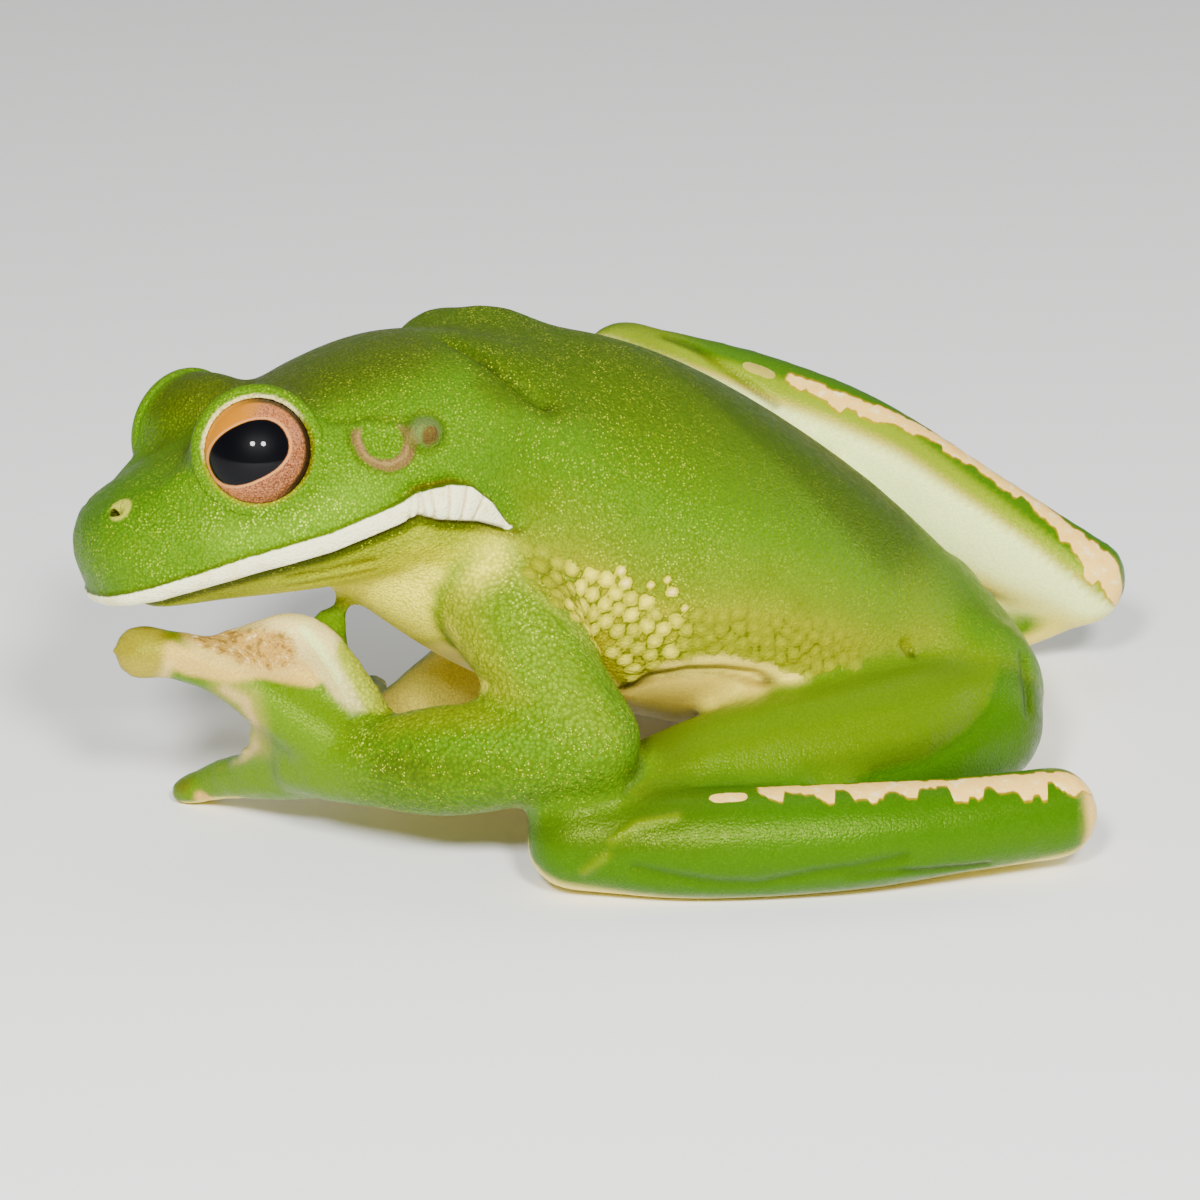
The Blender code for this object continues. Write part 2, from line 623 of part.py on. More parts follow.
def neck_blade():
    """A thin bent cutter across the neck: down behind the mouth's corners, then forward under the jaw."""
    gap = CUT_GAP * 0.7
    rows = []
    for sign in (-1, 1):
        ring = [head_point(back, 40 * sign, up) for back, up in NECK_CUT]
        ring += [head_point(back - gap, 40 * sign, up + gap) for back, up in NECK_CUT[::-1]]
        rows.append(ring)
    return as_cutter(loft("blade", rows, CUTTERS))


def part_in_two(piece, cutter, first, second, first_point):
    """Cuts a piece through and names its two halves: the first is the one nearer to first_point."""
    boolean(piece, cutter, "DIFFERENCE")
    bpy.data.objects.remove(cutter)
    halves = [piece, piece.copy()]
    halves[1].data = piece.data.copy()
    GROUPS.objects.link(halves[1])
    for i, half in enumerate(halves):
        keep_island(half, i)
    halves.sort(key=lambda half: np.linalg.norm(points_of(half).mean(axis=0) - np.array(first_point)))
    for half, name in zip(halves, (first, second)):
        half.name = name
        half.data.name = name
    return halves


def make_eyes():
    eyes = []
    for sign, name in ((1, "eye_left"), (-1, "eye_right")):
        centre, axis = eye_frame(sign)
        bm = bmesh.new()
        seat = Matrix.Translation(centre) @ Vector((0, 0, 1)).rotation_difference(axis).to_matrix().to_4x4()
        bmesh.ops.create_uvsphere(bm, u_segments=24, v_segments=13, radius=EYE_RADIUS, matrix=seat)
        eyes.append(new_piece(name, bm, GROUPS))
    return eyes


def paint(piece, colour, roughness):
    material = bpy.data.materials.new(piece.name + "_skin")
    material.use_nodes = True
    shader = material.node_tree.nodes["Principled BSDF"]
    shader.inputs["Base Color"].default_value = (*colour, 1.0)
    shader.inputs["Roughness"].default_value = roughness
    piece.data.materials.clear()
    piece.data.materials.append(material)


def settle(pieces):
    """Moves the pieces so that the frog's box stands over the origin, and scales them to metres."""
    corners = np.vstack([points_of(piece) for piece in pieces])
    low, high = corners.min(axis=0), corners.max(axis=0)
    shift = np.array([-(low[0] + high[0]) / 2, -(low[1] + high[1]) / 2, -low[2]])
    for piece in pieces:
        set_points(piece, (points_of(piece) + shift) * MM)


def new_collection(name):
    made = bpy.data.collections.new(name)
    bpy.context.scene.collection.children.link(made)
    return made


for old in list(bpy.data.objects):
    bpy.data.objects.remove(old)
GROUPS = new_collection("white_lipped_tree_frog")
CLAY = new_collection("clay")
CUTTERS = new_collection("cutters")
CUTTERS.hide_render = True

body = fuse("body", (make_head, make_torso, make_head_forms, make_torso_forms))
arm_left = fuse("arm_left", (make_arm_left,))
arm_right = fuse("arm_right", (make_arm_right,))
thigh_left = fuse("thigh_left", (make_thigh_left,))
thigh_right = fuse("thigh_right", (make_thigh_right,))
shank_left = fuse("shank_left", (make_shank_left,))
shank_right = fuse("shank_right", (make_shank_right,))
foot_left = fuse("foot_left", (make_foot_left,))
foot_right = fuse("foot_right", (make_foot_right,))
for piece in list(GROUPS.objects):
    smooth(piece, 3)
smooth(body, 40, WIDE_BLENDS)
smooth(body, 90, DEEP_BLENDS)
carve(body, carve_head)
carve(body, carve_torso)
carve(shank_left, carve_shank_left)
carve(thigh_left, carve_thigh_left)
smooth(body, 1)

for name, triangles in TRIANGLES.items():
    thin(GROUPS.objects[name], triangles)

eye_left, eye_right = make_eyes()
clear(body, [eye_left, eye_right])
clear(arm_left, [body])
clear(arm_right, [body])
clear(thigh_left, [body, arm_left])
clear(thigh_right, [body, arm_right])
clear(shank_left, [thigh_left, arm_left, body])
clear(shank_right, [thigh_right, body])
clear(foot_left, [shank_left, thigh_left, arm_left, arm_right, body])
clear(foot_right, [shank_right, thigh_right, arm_right, body])

head, torso = part_in_two(body, neck_blade(), "head", "torso", SNOUT_TIP)
elbow_left = slab((-5.4, -28.6, 15.8), (-0.515, -0.349, -0.996), 12)
wrist_left = slab((-23.4, -20.6, 11.4), (-0.8, 0.55, -0.05), 8)
elbow_right = slab((-1.5, 25.5, 11.5), (-0.43, -0.25, -1.22), 15)
wrist_right = slab((-17.5, 14.8, 4.2), (-0.8, -0.4, -0.3), 7)
upper_arm_left, rest = part_in_two(arm_left, elbow_left, "upper_arm_left", "lower_arm_left", (-11, -20, 25))
forearm_left, hand_left = part_in_two(rest, wrist_left, "forearm_left", "hand_left", (-12, -27, 13))
upper_arm_right, rest = part_in_two(arm_right, elbow_right, "upper_arm_right", "lower_arm_right",
                                    (-7, 20, 22))
forearm_right, hand_right = part_in_two(rest, wrist_right, "forearm_right", "hand_right", (-6, 22, 7))
settle(list(GROUPS.objects))
for piece in GROUPS.objects:
    if piece in (eye_left, eye_right):
        paint(piece, EYE_COLOUR, EYE_ROUGHNESS)
    else:
        paint(piece, SKIN_COLOUR, SKIN_ROUGHNESS)
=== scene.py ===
"""The looks of the white-lipped tree frog: one skin over the flesh, two eyes, and a pale studio floor.

The skin is worked on in the millimetres of the CAD's own frame, where the head points to -X and the near
side is -Y, and goes back to metres at the end.
"""

import math

import bmesh
import bpy
import numpy as np
from mathutils import Matrix, Vector
from mathutils.kdtree import KDTree


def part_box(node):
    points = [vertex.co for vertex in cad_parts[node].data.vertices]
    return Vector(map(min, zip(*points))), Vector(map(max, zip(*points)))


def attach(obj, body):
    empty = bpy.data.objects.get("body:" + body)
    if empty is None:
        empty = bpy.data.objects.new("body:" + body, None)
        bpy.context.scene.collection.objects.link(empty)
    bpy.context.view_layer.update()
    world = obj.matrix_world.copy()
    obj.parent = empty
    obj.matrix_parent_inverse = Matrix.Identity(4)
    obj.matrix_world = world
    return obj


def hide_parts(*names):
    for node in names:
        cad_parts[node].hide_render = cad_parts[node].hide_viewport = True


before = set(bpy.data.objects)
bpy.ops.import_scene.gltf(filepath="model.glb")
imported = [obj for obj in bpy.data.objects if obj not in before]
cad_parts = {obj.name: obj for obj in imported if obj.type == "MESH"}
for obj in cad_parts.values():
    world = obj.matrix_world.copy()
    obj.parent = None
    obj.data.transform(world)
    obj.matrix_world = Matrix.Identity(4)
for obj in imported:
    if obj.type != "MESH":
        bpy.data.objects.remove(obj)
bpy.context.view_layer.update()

# Sizes in millimetres.
TO_MM = 1000.0
VOXEL = 0.85
FILL = 0.2
EVEN_IN, EVEN_OUT = 0.6, 0.62
FLOOR_LEVEL = 0.37
EYE_RADIUS = 5.6
EYE_SIDE, EYE_BACK, EYE_UP = 10.6, 18.0, 6.2
EYE_AIM = (0.27, 0.93, 0.25)
# The ring round each eyeball that becomes its lids: how far out, its radius, its tube's, and when rounded.
LID_SEAT, LID_RADIUS, LID_TUBE, LID_RIM = 1.9, 5.8, 0.95, 0.74
LID_SINK, EYE_GAP = 0.25, 0.05
SNOUT_TIP = Vector((-53.9, -13.4, 31.6))
HEAD_YAW, HEAD_TIP, HEAD_ROLL = math.radians(17), math.radians(12), math.radians(12)

# Along the mouth, from the snout back: how high the gape lies on the head, and how broad the lip is over it.
MOUTH_LINE = (
    (0, -4.9), (4, -5.0), (13, -4.7), (21, -4.7), (27.5, -4.0), (29.6, -3.6), (31.4, -4.8), (35.5, -6.5),
    (38.4, -8.4),
)
LIP_WIDTH = (
    (0, 1.4), (4, 1.7), (13, 2.0), (25, 2.1), (29.5, 2.1), (31.2, 3.2), (33.5, 3.9), (35.3, 3.8), (37.1, 2.6),
    (38.6, 0.4),
)
MOUTH_END = 38.8
# How high the lip stands, and how deep the gape, the jaw below it, the fold over the lip and its pleats lie.
LIP_HEIGHT, GAPE_DEPTH, JAW_DEPTH, LIP_FOLD_DEPTH, PLEAT_DEPTH = 0.36, 0.55, 0.12, 0.6, 0.3
# The lip's creases by its corner: how far back each one starts, and how it leans.
LIP_PLEATS = ((28.4, 0.35), (29.3, 0.3), (30.0, 0.05), (30.9, 0.1), (32.2, 0.25), (33.4, 0.4), (34.6, 0.6))

# Each shank's axis from knee to heel.
SHANKS = {
    "shank_left": ((-6.5, -29.4, 5.7), (41.3, -30.2, 6.1)),
    "shank_right": ((8.2, 41.5, 33.2), (57.5, 22.5, 10.5)),
}
# Along a shank from the knee: the angle from its top to the stripe's upper edge, then to its lower edge.
STRIPE_TOP = {
    "shank_left": ((0, 19), (38, 19), (43, 10), (46.5, 3), (60, -10)),
    "shank_right": ((0, 6), (18, 5), (25, 4), (32, -6), (37, -16), (48, -18), (53.5, -2), (57, 6),
                    (70, 30)),
}
STRIPE_LOW = {
    "shank_left": ((0, 41), (42, 41), (47, 36), (60, 36)),
    "shank_right": ((0, 17), (18, 18), (25, 19), (32, 8), (38, 2), (48, 3), (54, 28), (57, 50), (70, 90)),
}
# On the far shank the green ends and the pale inner face starts here.
PALE_EDGE = ((0, 36), (20, 33), (33, 28), (39, 33), (44.5, 38), (50, 46), (56, 60), (70, 95))

# Creases of the body and legs: path, width, depth.
SHOULDER_CREASE = ((-15.5, -6.8, 50.8), (-13.3, -9.0, 49.5), (-11.0, -10.7, 48.1), (-8.7, -12.2, 46.6),
                   (-7.3, -12.4, 45.8))
BELLY_CREASE = ((0.4, -14.6, 15.8), (3.0, -16.4, 17.6), (6.5, -17.3, 18.3), (9.8, -17.5, 18.2),
                (13.1, -17.4, 17.4), (16.5, -16.9, 16.0))
CREASES = (
    (SHOULDER_CREASE, 0.85, 0.95),
    (((37.1, -19.5, 13.3), (34.6, -21.5, 11.7), (30.1, -23.9, 9.9), (24.5, -25.7, 9.5)), 0.55, 0.4),
    (((-1.6, -36.1, 5.1), (1.5, -36.7, 4.4), (6.1, -37.2, 3.5), (10.3, -37.4, 3.2), (15.6, -38, 4.3),
      (20.6, -38.1, 4.8), (24.9, -37.9, 5.5)), 0.45, 0.35),
    (((19.5, -37.9, 3.8), (23.4, -37.7, 3.9), (27.9, -36.8, 3.6), (33.6, -35.5, 3.3)), 0.4, 0.3),
    (BELLY_CREASE, 0.55, 1.1),
    (((13.0, 39.1, 36.7), (15.4, 37.6, 35.9), (18.9, 34.6, 34.0), (24.0, 31.2, 30.5)), 0.5, 0.35),
    (((29.7, -13.2, 18.4), (30.4, -13.2, 17.2), (30.8, -12.9, 16.0)), 0.5, 0.6),
    (((42.6, -12.1, 16.2), (42.3, -15, 14), (42.1, -17.1, 12)), 0.6, 0.5),
)
# Folds of the head, each point as how far back, left and up it lies: over the ear drum, then under the jaw.
DRUM_FOLD = ((24.5, 13.0, 7.2), (28.0, 14.8, 6.8), (31.0, 16.4, 5.6))
JAW_FOLDS = (
    ((17.0, 11.0, -6.2), (25.0, 14.0, -7.0)),
    ((17.0, 9.6, -7.8), (25.0, 12.6, -8.6)),
    ((17.0, 7.6, -9.4), (25.0, 10.6, -10.2)),
)
# Where skin stays wet and gets painted highlights.
WET_SHEEN_PATHS = (
    (((-40.2, -21.2, 38.4), (-36.4, -22.1, 37.7), (-32.5, -22.3, 38.2), (-29.6, -22.3, 39.4)), 1.9),
    (((-13.0, -20.5, 32.5), (-11.3, -24.4, 29.4), (-9.5, -27.5, 26.5)), 1.7),
    (((-27.6, -20.5, 15.0), (-27.0, -22.5, 13.5)), 1.6),
    (((-5.0, -36.0, 9.0), (0.0, -37.0, 9.0)), 1.6),
)
# Places on the head, as how far back, left and up each lies.
NOSTRIL = ((3.5, 4.6, 4.5), (4.4, 5.3, 4.1))
WART = ((32.4, 17.3, 3.9), (33.1, 17.4, 3.7))
DRUM = (28.7, 16.4, 4.3)
DRUM_RADIUS, DRUM_RING_UP = 2.45, 4.4
# Each form of the head: its path, the radius of a ring round it, how far it rises or sinks, and its width.
HEAD_FORMS = (
    (NOSTRIL, 0.0, 0.2, 1.4),
    (NOSTRIL, 0.0, -1.1, 0.36),
    ((DRUM,), DRUM_RADIUS, 0.16, 0.5),
    ((DRUM,), 0.0, -0.15, 1.3),
    (WART, 0.0, 0.95, 0.95),
    (WART, 1.9, -0.3, 0.5),
    (DRUM_FOLD, 0.0, -0.3, 0.4),
    *((fold, 0.0, -0.25, 0.6) for fold in JAW_FOLDS),
)
HEAD_SPOTS = {"nostril": (3.7, 4.6, 4.4), "nostril_rim": (4.5, 5.2, 4.3), "wart": (32.8, 17.3, 3.9),
              "wart_tip": (32.8, 17.3, 3.1)}
SMOOTH_LEGS = ("thigh_left", "shank_left", "foot_left", "shank_right", "foot_right")
# Low ridges beside the near knee.
RIDGES = (
    (((-6.5, -34.5, 4.4), (-4.4, -35.3, 6.2)), 0.5, 0.3),
    (((-3.9, -35.1, 7.7), (-1.2, -34.7, 9.4), (2.6, -35, 10.2)), 0.5, 0.3),
)

# Colours used in many places, linear, as the skin's own share of light.
GREEN = (0.067, 0.172, 0.0)
LEAF = (0.028, 0.108, 0.0)
OLIVE = (0.045, 0.062, 0.0)
DEEP = (0.034, 0.07, 0.0)
LIME = (0.15, 0.21, 0.0)
YELLOW = (0.23, 0.25, 0.0)
CREAM = (0.9, 0.72, 0.1)
BRIGHT = (0.95, 0.84, 0.05)
PALE = (0.86, 0.97, 0.34)
PINK = (0.78, 0.42, 0.1)
TAN = (0.55, 0.31, 0.06)
WHITE_LIP = (0.98, 0.95, 0.56)
STRIPE_PINK = (0.96, 0.6, 0.14)
BROWN = (0.07, 0.045, 0.0)
# Colours of the body and head.
FLANK_GOLD = (0.33, 0.29, 0.0)
BELLY_SHADE = (0.6, 0.42, 0.05)
CHEEK_SHEEN_GREEN = (0.14, 0.3, 0.0)
JAW_LIME = (0.3, 0.34, 0.0)
JAW_YELLOW = (0.5, 0.48, 0.0)
LID_CREAM = (0.9, 0.78, 0.3)
# Colours of the legs and the near arm.
THIGH_GREEN = (0.08, 0.155, 0.0)
FAR_LIME = (0.24, 0.32, 0.0)
ARM_GREEN = (0.115, 0.21, 0.0)
ARM_LIME = (0.24, 0.27, 0.0)
ARM_EDGE_HIGHLIGHT = (0.4, 0.46, 0.02)
FOREARM_SHADE = (0.06, 0.15, 0.0)
# Colours of the near hand.
WRIST_GREEN = (0.1, 0.19, 0.0)
WEB_OLIVE = (0.34, 0.29, 0.05)
WEB_PINK = (0.6, 0.4, 0.14)
PALM_ORANGE = (0.66, 0.41, 0.09)
PALM_EDGE = (0.62, 0.42, 0.11)
PALM_BROWN = (0.2, 0.11, 0.02)
PALM_PALE = (0.9, 0.68, 0.3)
INNER_CREAM = (0.76, 0.6, 0.22)
RIDGE_HIGHLIGHT = (0.7, 0.86, 0.3)
INNER_GREEN = (0.3, 0.36, 0.0)
DISC_TAN = (0.66, 0.46, 0.14)
DISC_YELLOW = (0.27, 0.22, 0.01)
DISC_OLIVE = (0.2, 0.16, 0.0)
DISC_BROWN = (0.12, 0.09, 0.0)
TIP_BROWN = (0.12, 0.08, 0.01)
# Colours of the granules, their sides and the net between them.
DOME_OLIVE, DOME_YELLOW, DOME_CREAM = (0.25, 0.265, 0.0), (0.84, 0.72, 0.05), (0.96, 0.76, 0.28)
SIDE_OLIVE, SIDE_YELLOW = (0.19, 0.2, 0.0), (0.5, 0.45, 0.01)
NET_DARK, NET_LIGHT = (0.075, 0.095, 0.0), (0.16, 0.165, 0.0)
# Colours of the stripe, the mouth and the marks of the face, with painted shade for the lip's creases, the
# gape under the lip and the nostrils.
STRIPE_ORANGE, STRIPE_CREAM, STRIPE_RIM = (0.85, 0.46, 0.1), (0.97, 0.8, 0.45), (0.42, 0.22, 0.0)
LIP_CREAM, LIP_CREASE_SHADE, GAPE_SHADOW = (0.85, 0.68, 0.25), (0.5, 0.32, 0.12), (0.03, 0.03, 0.0)
DRUM_BROWN, DRUM_PINK = (0.14, 0.075, 0.025), (0.32, 0.19, 0.07)
WART_GREEN, WART_BROWN = (0.1, 0.14, 0.035), (0.08, 0.04, 0.01)
NOSTRIL_RIM, NOSTRIL_SHADE = (0.42, 0.42, 0.04), (0.012, 0.012, 0.0)
# Colours of the painted highlights: the dry glints and the wet sheen.
PAINTED_GLINT, PAINTED_WET_SHEEN = (0.72, 0.76, 0.03), (0.8, 0.86, 0.08)
# Colours of the eyes, with the painted shadow of the lids.
IRIS_PINK, IRIS_SPECK, IRIS_SHADE = (0.46, 0.17, 0.06), (0.13, 0.035, 0.01), (0.09, 0.025, 0.01)
IRIS_GOLD, IRIS_RIM, LID_SHADOW = (0.44, 0.155, 0.0), (0.6, 0.26, 0.08), (0.006, 0.004, 0.002)
PUPIL_BLACK = (0.0008, 0.0008, 0.0016)

# The pupil: how far ahead of the eye's middle, half its length and height, how squared its oval, its tilt.
PUPIL_AHEAD, PUPIL_HALF, PUPIL_SQUARE = 0.85, (3.95, 2.75), 2.3
PUPIL_TURN = (math.cos(math.radians(4)), math.sin(math.radians(-4)))

# The grain of the skin: cells in a millimetre, and how much they stray from a grid.
FINE_PEBBLES, WIDE_PEBBLES, PEBBLE_JITTER = 3.3, 2.3, 0.9

FLESH = [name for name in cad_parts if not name.startswith("eye")]


def centre_of(node_name):
    low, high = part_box(node_name)
    return (low + high) / 2 * TO_MM


def head_axes():
    """The directions forward, left and up of the head."""
    forward = Vector((-math.cos(HEAD_YAW) * math.cos(HEAD_TIP), -math.sin(HEAD_YAW) * math.cos(HEAD_TIP),
                      -math.sin(HEAD_TIP)))
    left = Vector((math.sin(HEAD_YAW), -math.cos(HEAD_YAW), 0.0))
    roll = Matrix.Rotation(HEAD_ROLL, 3, forward)
    return forward, roll @ left, roll @ forward.cross(left)


def head_point(back, left, up):
    forward, side, above = head_axes()
    return SNOUT_TIP - forward * back + side * left + above * up


def head_path(path, sign):
    """A path on the head's left with sign 1, or on its right with -1."""
    return [head_point(back, left * sign, up) for back, left, up in path]


def eye_frame(sign):
    """An eyeball's centre, and the direction that it looks in."""
    forward, side, above = head_axes()
    ahead, out, up = EYE_AIM
    axis = (forward * ahead + side * (out * sign) + above * up).normalized()
    return head_point(EYE_BACK, EYE_SIDE * sign, EYE_UP), axis


# What moves the CAD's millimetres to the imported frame.
SHIFT = centre_of("eye_left") - eye_frame(1)[0]


def head_parts(points):
    forward, side, above = (np.array(axis) for axis in head_axes())
    away = points - np.array(SNOUT_TIP)
    return -(away @ forward), away @ side, away @ above


def eye_parts(points, sign):
    """Distance from an eyeball's centre, and how far towards its front, forward and up."""
    centre, axis = eye_frame(sign)
    ahead, up = eye_cross(sign)
    away = points - np.array(centre)
    return np.linalg.norm(away, axis=1), away @ np.array(axis), away @ np.array(ahead), away @ np.array(up)


def eye_cross(sign):
    """The directions forward and up across the face of an eye."""
    forward, _, above = head_axes()
    axis = eye_frame(sign)[1]
    ahead = (forward - axis * forward.dot(axis)).normalized()
    up = axis.cross(ahead)
    return ahead, up if up.dot(above) > 0 else -up


def path_distance(points, path):
    nearest = spot_distance(points, path[0])
    for start, end in zip(path, path[1:]):
        a, run = np.array(start), np.array(end) - np.array(start)
        along = np.clip((points - a) @ run / (run @ run), 0, 1)
        nearest = np.minimum(nearest, np.linalg.norm(points - a - along[:, None] * run, axis=1))
    return nearest


def spot_distance(points, spot):
    return np.linalg.norm(points - np.array(spot), axis=1)


def at(values, stops):
    """Reads a curve given by its stops."""
    return np.interp(values, *zip(*stops))


def bump(distance, width):
    """1 at no distance, and fading to 0 over about twice the width."""
    return np.exp(-((distance / width) ** 2))


def step(values, start, end):
    """Goes smoothly from 0 at start to 1 at end."""
    t = np.clip((values - start) / (end - start), 0, 1)
    return t * t * (3 - 2 * t)


def mix(a, b, share):
    return a + (np.array(b) - a) * share[:, None]


def lay(tone, where, *coats):
    """Lays coats over a tone where it is asked, each a colour and its share."""
    for colour, share in coats:
        tone = mix(tone, colour, where * share)
    return tone


def leg_parts(points, name):
    """The run along a shank from its knee, the angle round it from its top to the near side, its radius."""
    a, b = (np.array(end) for end in SHANKS[name])
    along = (b - a) / np.linalg.norm(b - a)
    away = points - a
    run = away @ along
    away = away - run[:, None] * along
    up = np.array((0, 0, 1.0)) - along * along[2]
    up /= np.linalg.norm(up)
    side = np.cross(up, along)
    side *= -np.sign(side[1])
    return run, np.degrees(np.arctan2(away @ side, away @ up)), np.linalg.norm(away, axis=1)


# Objects, and meshes as arrays.


def placed(name, data):
    """A new object in the scene."""
    made = bpy.data.objects.new(name, data)
    bpy.context.scene.collection.objects.link(made)
    return made


def mesh_of(bm, name):
    """A mesh made from bmesh data, which is freed."""
    mesh = bpy.data.meshes.new(name)
    bm.to_mesh(mesh)
    bm.free()
    return mesh


def points_of(mesh):
    points = np.empty(len(mesh.vertices) * 3)
    mesh.vertices.foreach_get("co", points)
    return points.reshape(-1, 3)


def normals_of(mesh):
    normals = np.empty(len(mesh.vertices) * 3, np.float32)
    mesh.vertex_normals.foreach_get("vector", normals)
    return normals.reshape(-1, 3).astype(float)


def set_points(mesh, points):
    mesh.vertices.foreach_set("co", points.ravel())
    mesh.update()


def tree_of(places):
    """Finds the nearest of the places to a point."""
    tree = KDTree(len(places))
    for i, place in enumerate(places):
        tree.insert(place, i)
    tree.balance()
    return tree


def averager(mesh):
    """A function that gives each point the mean of its neighbours' values."""
    ends = np.empty(len(mesh.edges) * 2, np.int64)
    mesh.edges.foreach_get("vertices", ends)
    a, b = ends.reshape(-1, 2).T
    count = len(mesh.vertices)
    degree = np.bincount(a, minlength=count) + np.bincount(b, minlength=count)

    def mean(values):
        columns = values.reshape(count, -1)
        sums = [np.bincount(a, c[b], count) + np.bincount(b, c[a], count) for c in columns.T]
        return (np.stack(sums, axis=1) / degree[:, None]).reshape(values.shape)

    return mean


def even(mesh, passes):
    """Takes small bumps out of the skin without shrinking it."""
    mean = averager(mesh)
    points = points_of(mesh)
    for _ in range(passes):
        points += EVEN_IN * (mean(points) - points)
        points -= EVEN_OUT * (mean(points) - points)
    set_points(mesh, points)


def soften(mesh, passes, spots):
    """Smooths the skin round each spot, within its radius."""
    mean = averager(mesh)
    points = points_of(mesh)
    share = np.zeros(len(points))
    for centre, radius in spots:
        away = spot_distance(points, centre) / radius
        share = np.maximum(share, np.clip(1.6 * (1 - away), 0, 1))
    for _ in range(passes):
        points += (0.5 * share)[:, None] * (mean(points) - points)
    set_points(mesh, points)


# The skin's shape.


def facing(place, axis):
    """What moves a thing made round +Z at the origin to a place, to face along an axis."""
    turn = Vector((0, 0, 1)).rotation_difference(axis).to_matrix().to_4x4()
    return Matrix.Translation(place) @ turn


def add_lid_rings(bm):
    """A round rim over each eyeball, for the lids' free edge."""
    for sign in (1, -1):
        centre, axis = eye_frame(sign)
        made = bmesh.ops.create_circle(bm, segments=12, radius=LID_TUBE)
        place = Matrix.Translation((LID_RADIUS, 0, 0)) @ Matrix.Rotation(math.pi / 2, 4, "X")
        bmesh.ops.transform(bm, matrix=place, verts=made["verts"])
        edges = list({edge for vert in made["verts"] for edge in vert.link_edges})
        old = set(bm.verts) - set(made["verts"])
        bmesh.ops.spin(bm, geom=made["verts"] + edges, cent=(0, 0, 0), axis=(0, 0, 1), dvec=(0, 0, 0),
                       angle=math.tau, steps=48, use_merge=True, use_duplicate=False)
        ring = [vert for vert in bm.verts if vert not in old]
        faces = list({face for vert in ring for face in vert.link_faces})
        bmesh.ops.recalc_face_normals(bm, faces=faces)
        bmesh.ops.transform(bm, matrix=facing(centre + axis * LID_SEAT, axis), verts=ring)


def fused_skin():
    """One skin over every flesh node, in the CAD's millimetres."""
    bm = bmesh.new()
    for name in FLESH:
        bm.from_mesh(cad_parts[name].data)
    bmesh.ops.remove_doubles(bm, verts=bm.verts, dist=1e-6)
    bm.normal_update()
    for vert in bm.verts:
        vert.co = vert.co * TO_MM - SHIFT + vert.normal * FILL
    add_lid_rings(bm)
    mesh = mesh_of(bm, "skin_source")
    holder = placed("skin_source", mesh)
    remesh = holder.modifiers.new("fuse", "REMESH")
    remesh.mode = "VOXEL"
    remesh.voxel_size = VOXEL
    bpy.context.view_layer.update()
    made = bpy.data.meshes.new_from_object(holder.evaluated_get(bpy.context.evaluated_depsgraph_get()))
    bpy.data.objects.remove(holder)
    bpy.data.meshes.remove(mesh)
    set_points(made, points_of(made) - normals_of(made) * FILL)
    return made


def keep_largest(mesh):
    """Leaves only the largest shell, so nothing loose stays inside the skin."""
    bm = bmesh.new()
    bm.from_mesh(mesh)
    left = set(bm.verts)
    best = []
    while left:
        front = [left.pop()]
        group = []
        while front:
            vert = front.pop()
            group.append(vert)
            linked = [edge.other_vert(vert) for edge in vert.link_edges]
            front += [other for other in linked if other in left]
            left.difference_update(linked)
        best = max(best, group, key=len)
    keep = set(best)
    bmesh.ops.delete(bm, geom=[vert for vert in bm.verts if vert not in keep], context="VERTS")
    bm.to_mesh(mesh)
    bm.free()


def finer(mesh, chosen):
    """Splits the chosen part of the skin into faces half as wide."""
    bm = bmesh.new()
    bm.from_mesh(mesh)
    bm.verts.ensure_lookup_table()
    inside = {bm.verts[i] for i in np.flatnonzero(chosen)}
    edges = [edge for edge in bm.edges if edge.verts[0] in inside and edge.verts[1] in inside]
    bmesh.ops.subdivide_edges(bm, edges=edges, cuts=1, use_grid_fill=True)
    bm.to_mesh(mesh)
    bm.free()


def fine_part(points):
    """The face, the near hand, the near flank, and what lies round the creases."""
    x, y, z = points.T
    back, out, up = head_parts(points)
    head = (back < 41) & (z > 20.5) & (out > -2) & (up < 7.5)
    near_eye = spot_distance(points, eye_frame(1)[0]) < 9
    far_eye = spot_distance(points, eye_frame(-1)[0]) < 8.5
    far_mouth = (np.abs(up - at(back, MOUTH_LINE) - 0.9) < 2.0) & (out < -3) & (back < 40)
    hand = (x < -24) & (y < -2) & (z < 26)
    flank = (flank_depth(points) > -2.5) & (y < -10)
    creases = np.minimum.reduce([path_distance(points, path) for path, _, _ in CREASES + RIDGES])
    return head | near_eye | far_eye | far_mouth | hand | flank | (creases < 1.8)


def finest_part(points):
    """Round the eyes, along the mouth, and at the nostrils, the ear drum and the wart."""
    back, out, up = head_parts(points)
    chosen = np.zeros(len(points), bool)
    for sign in (1, -1):
        distance, front = eye_parts(points, sign)[:2]
        chosen |= (distance < 7.4) & (front > -0.5)
    rise = up - at(back, MOUTH_LINE)
    lip = at(back, LIP_WIDTH)
    edge = np.minimum(np.abs(rise), np.abs(rise - lip)) < 0.75
    chosen |= edge & (back < 40) & (out > 3)
    chosen |= (rise > -0.6) & (rise < lip + 1.3) & (back > 26) & (back < 40) & (out > 8)
    chosen |= spot_distance(points, head_point(3.9, 4.9, 4.3)) < 1.6
    chosen |= spot_distance(points, head_point(32.7, 17.5, 3.7)) < 2.2
    return chosen


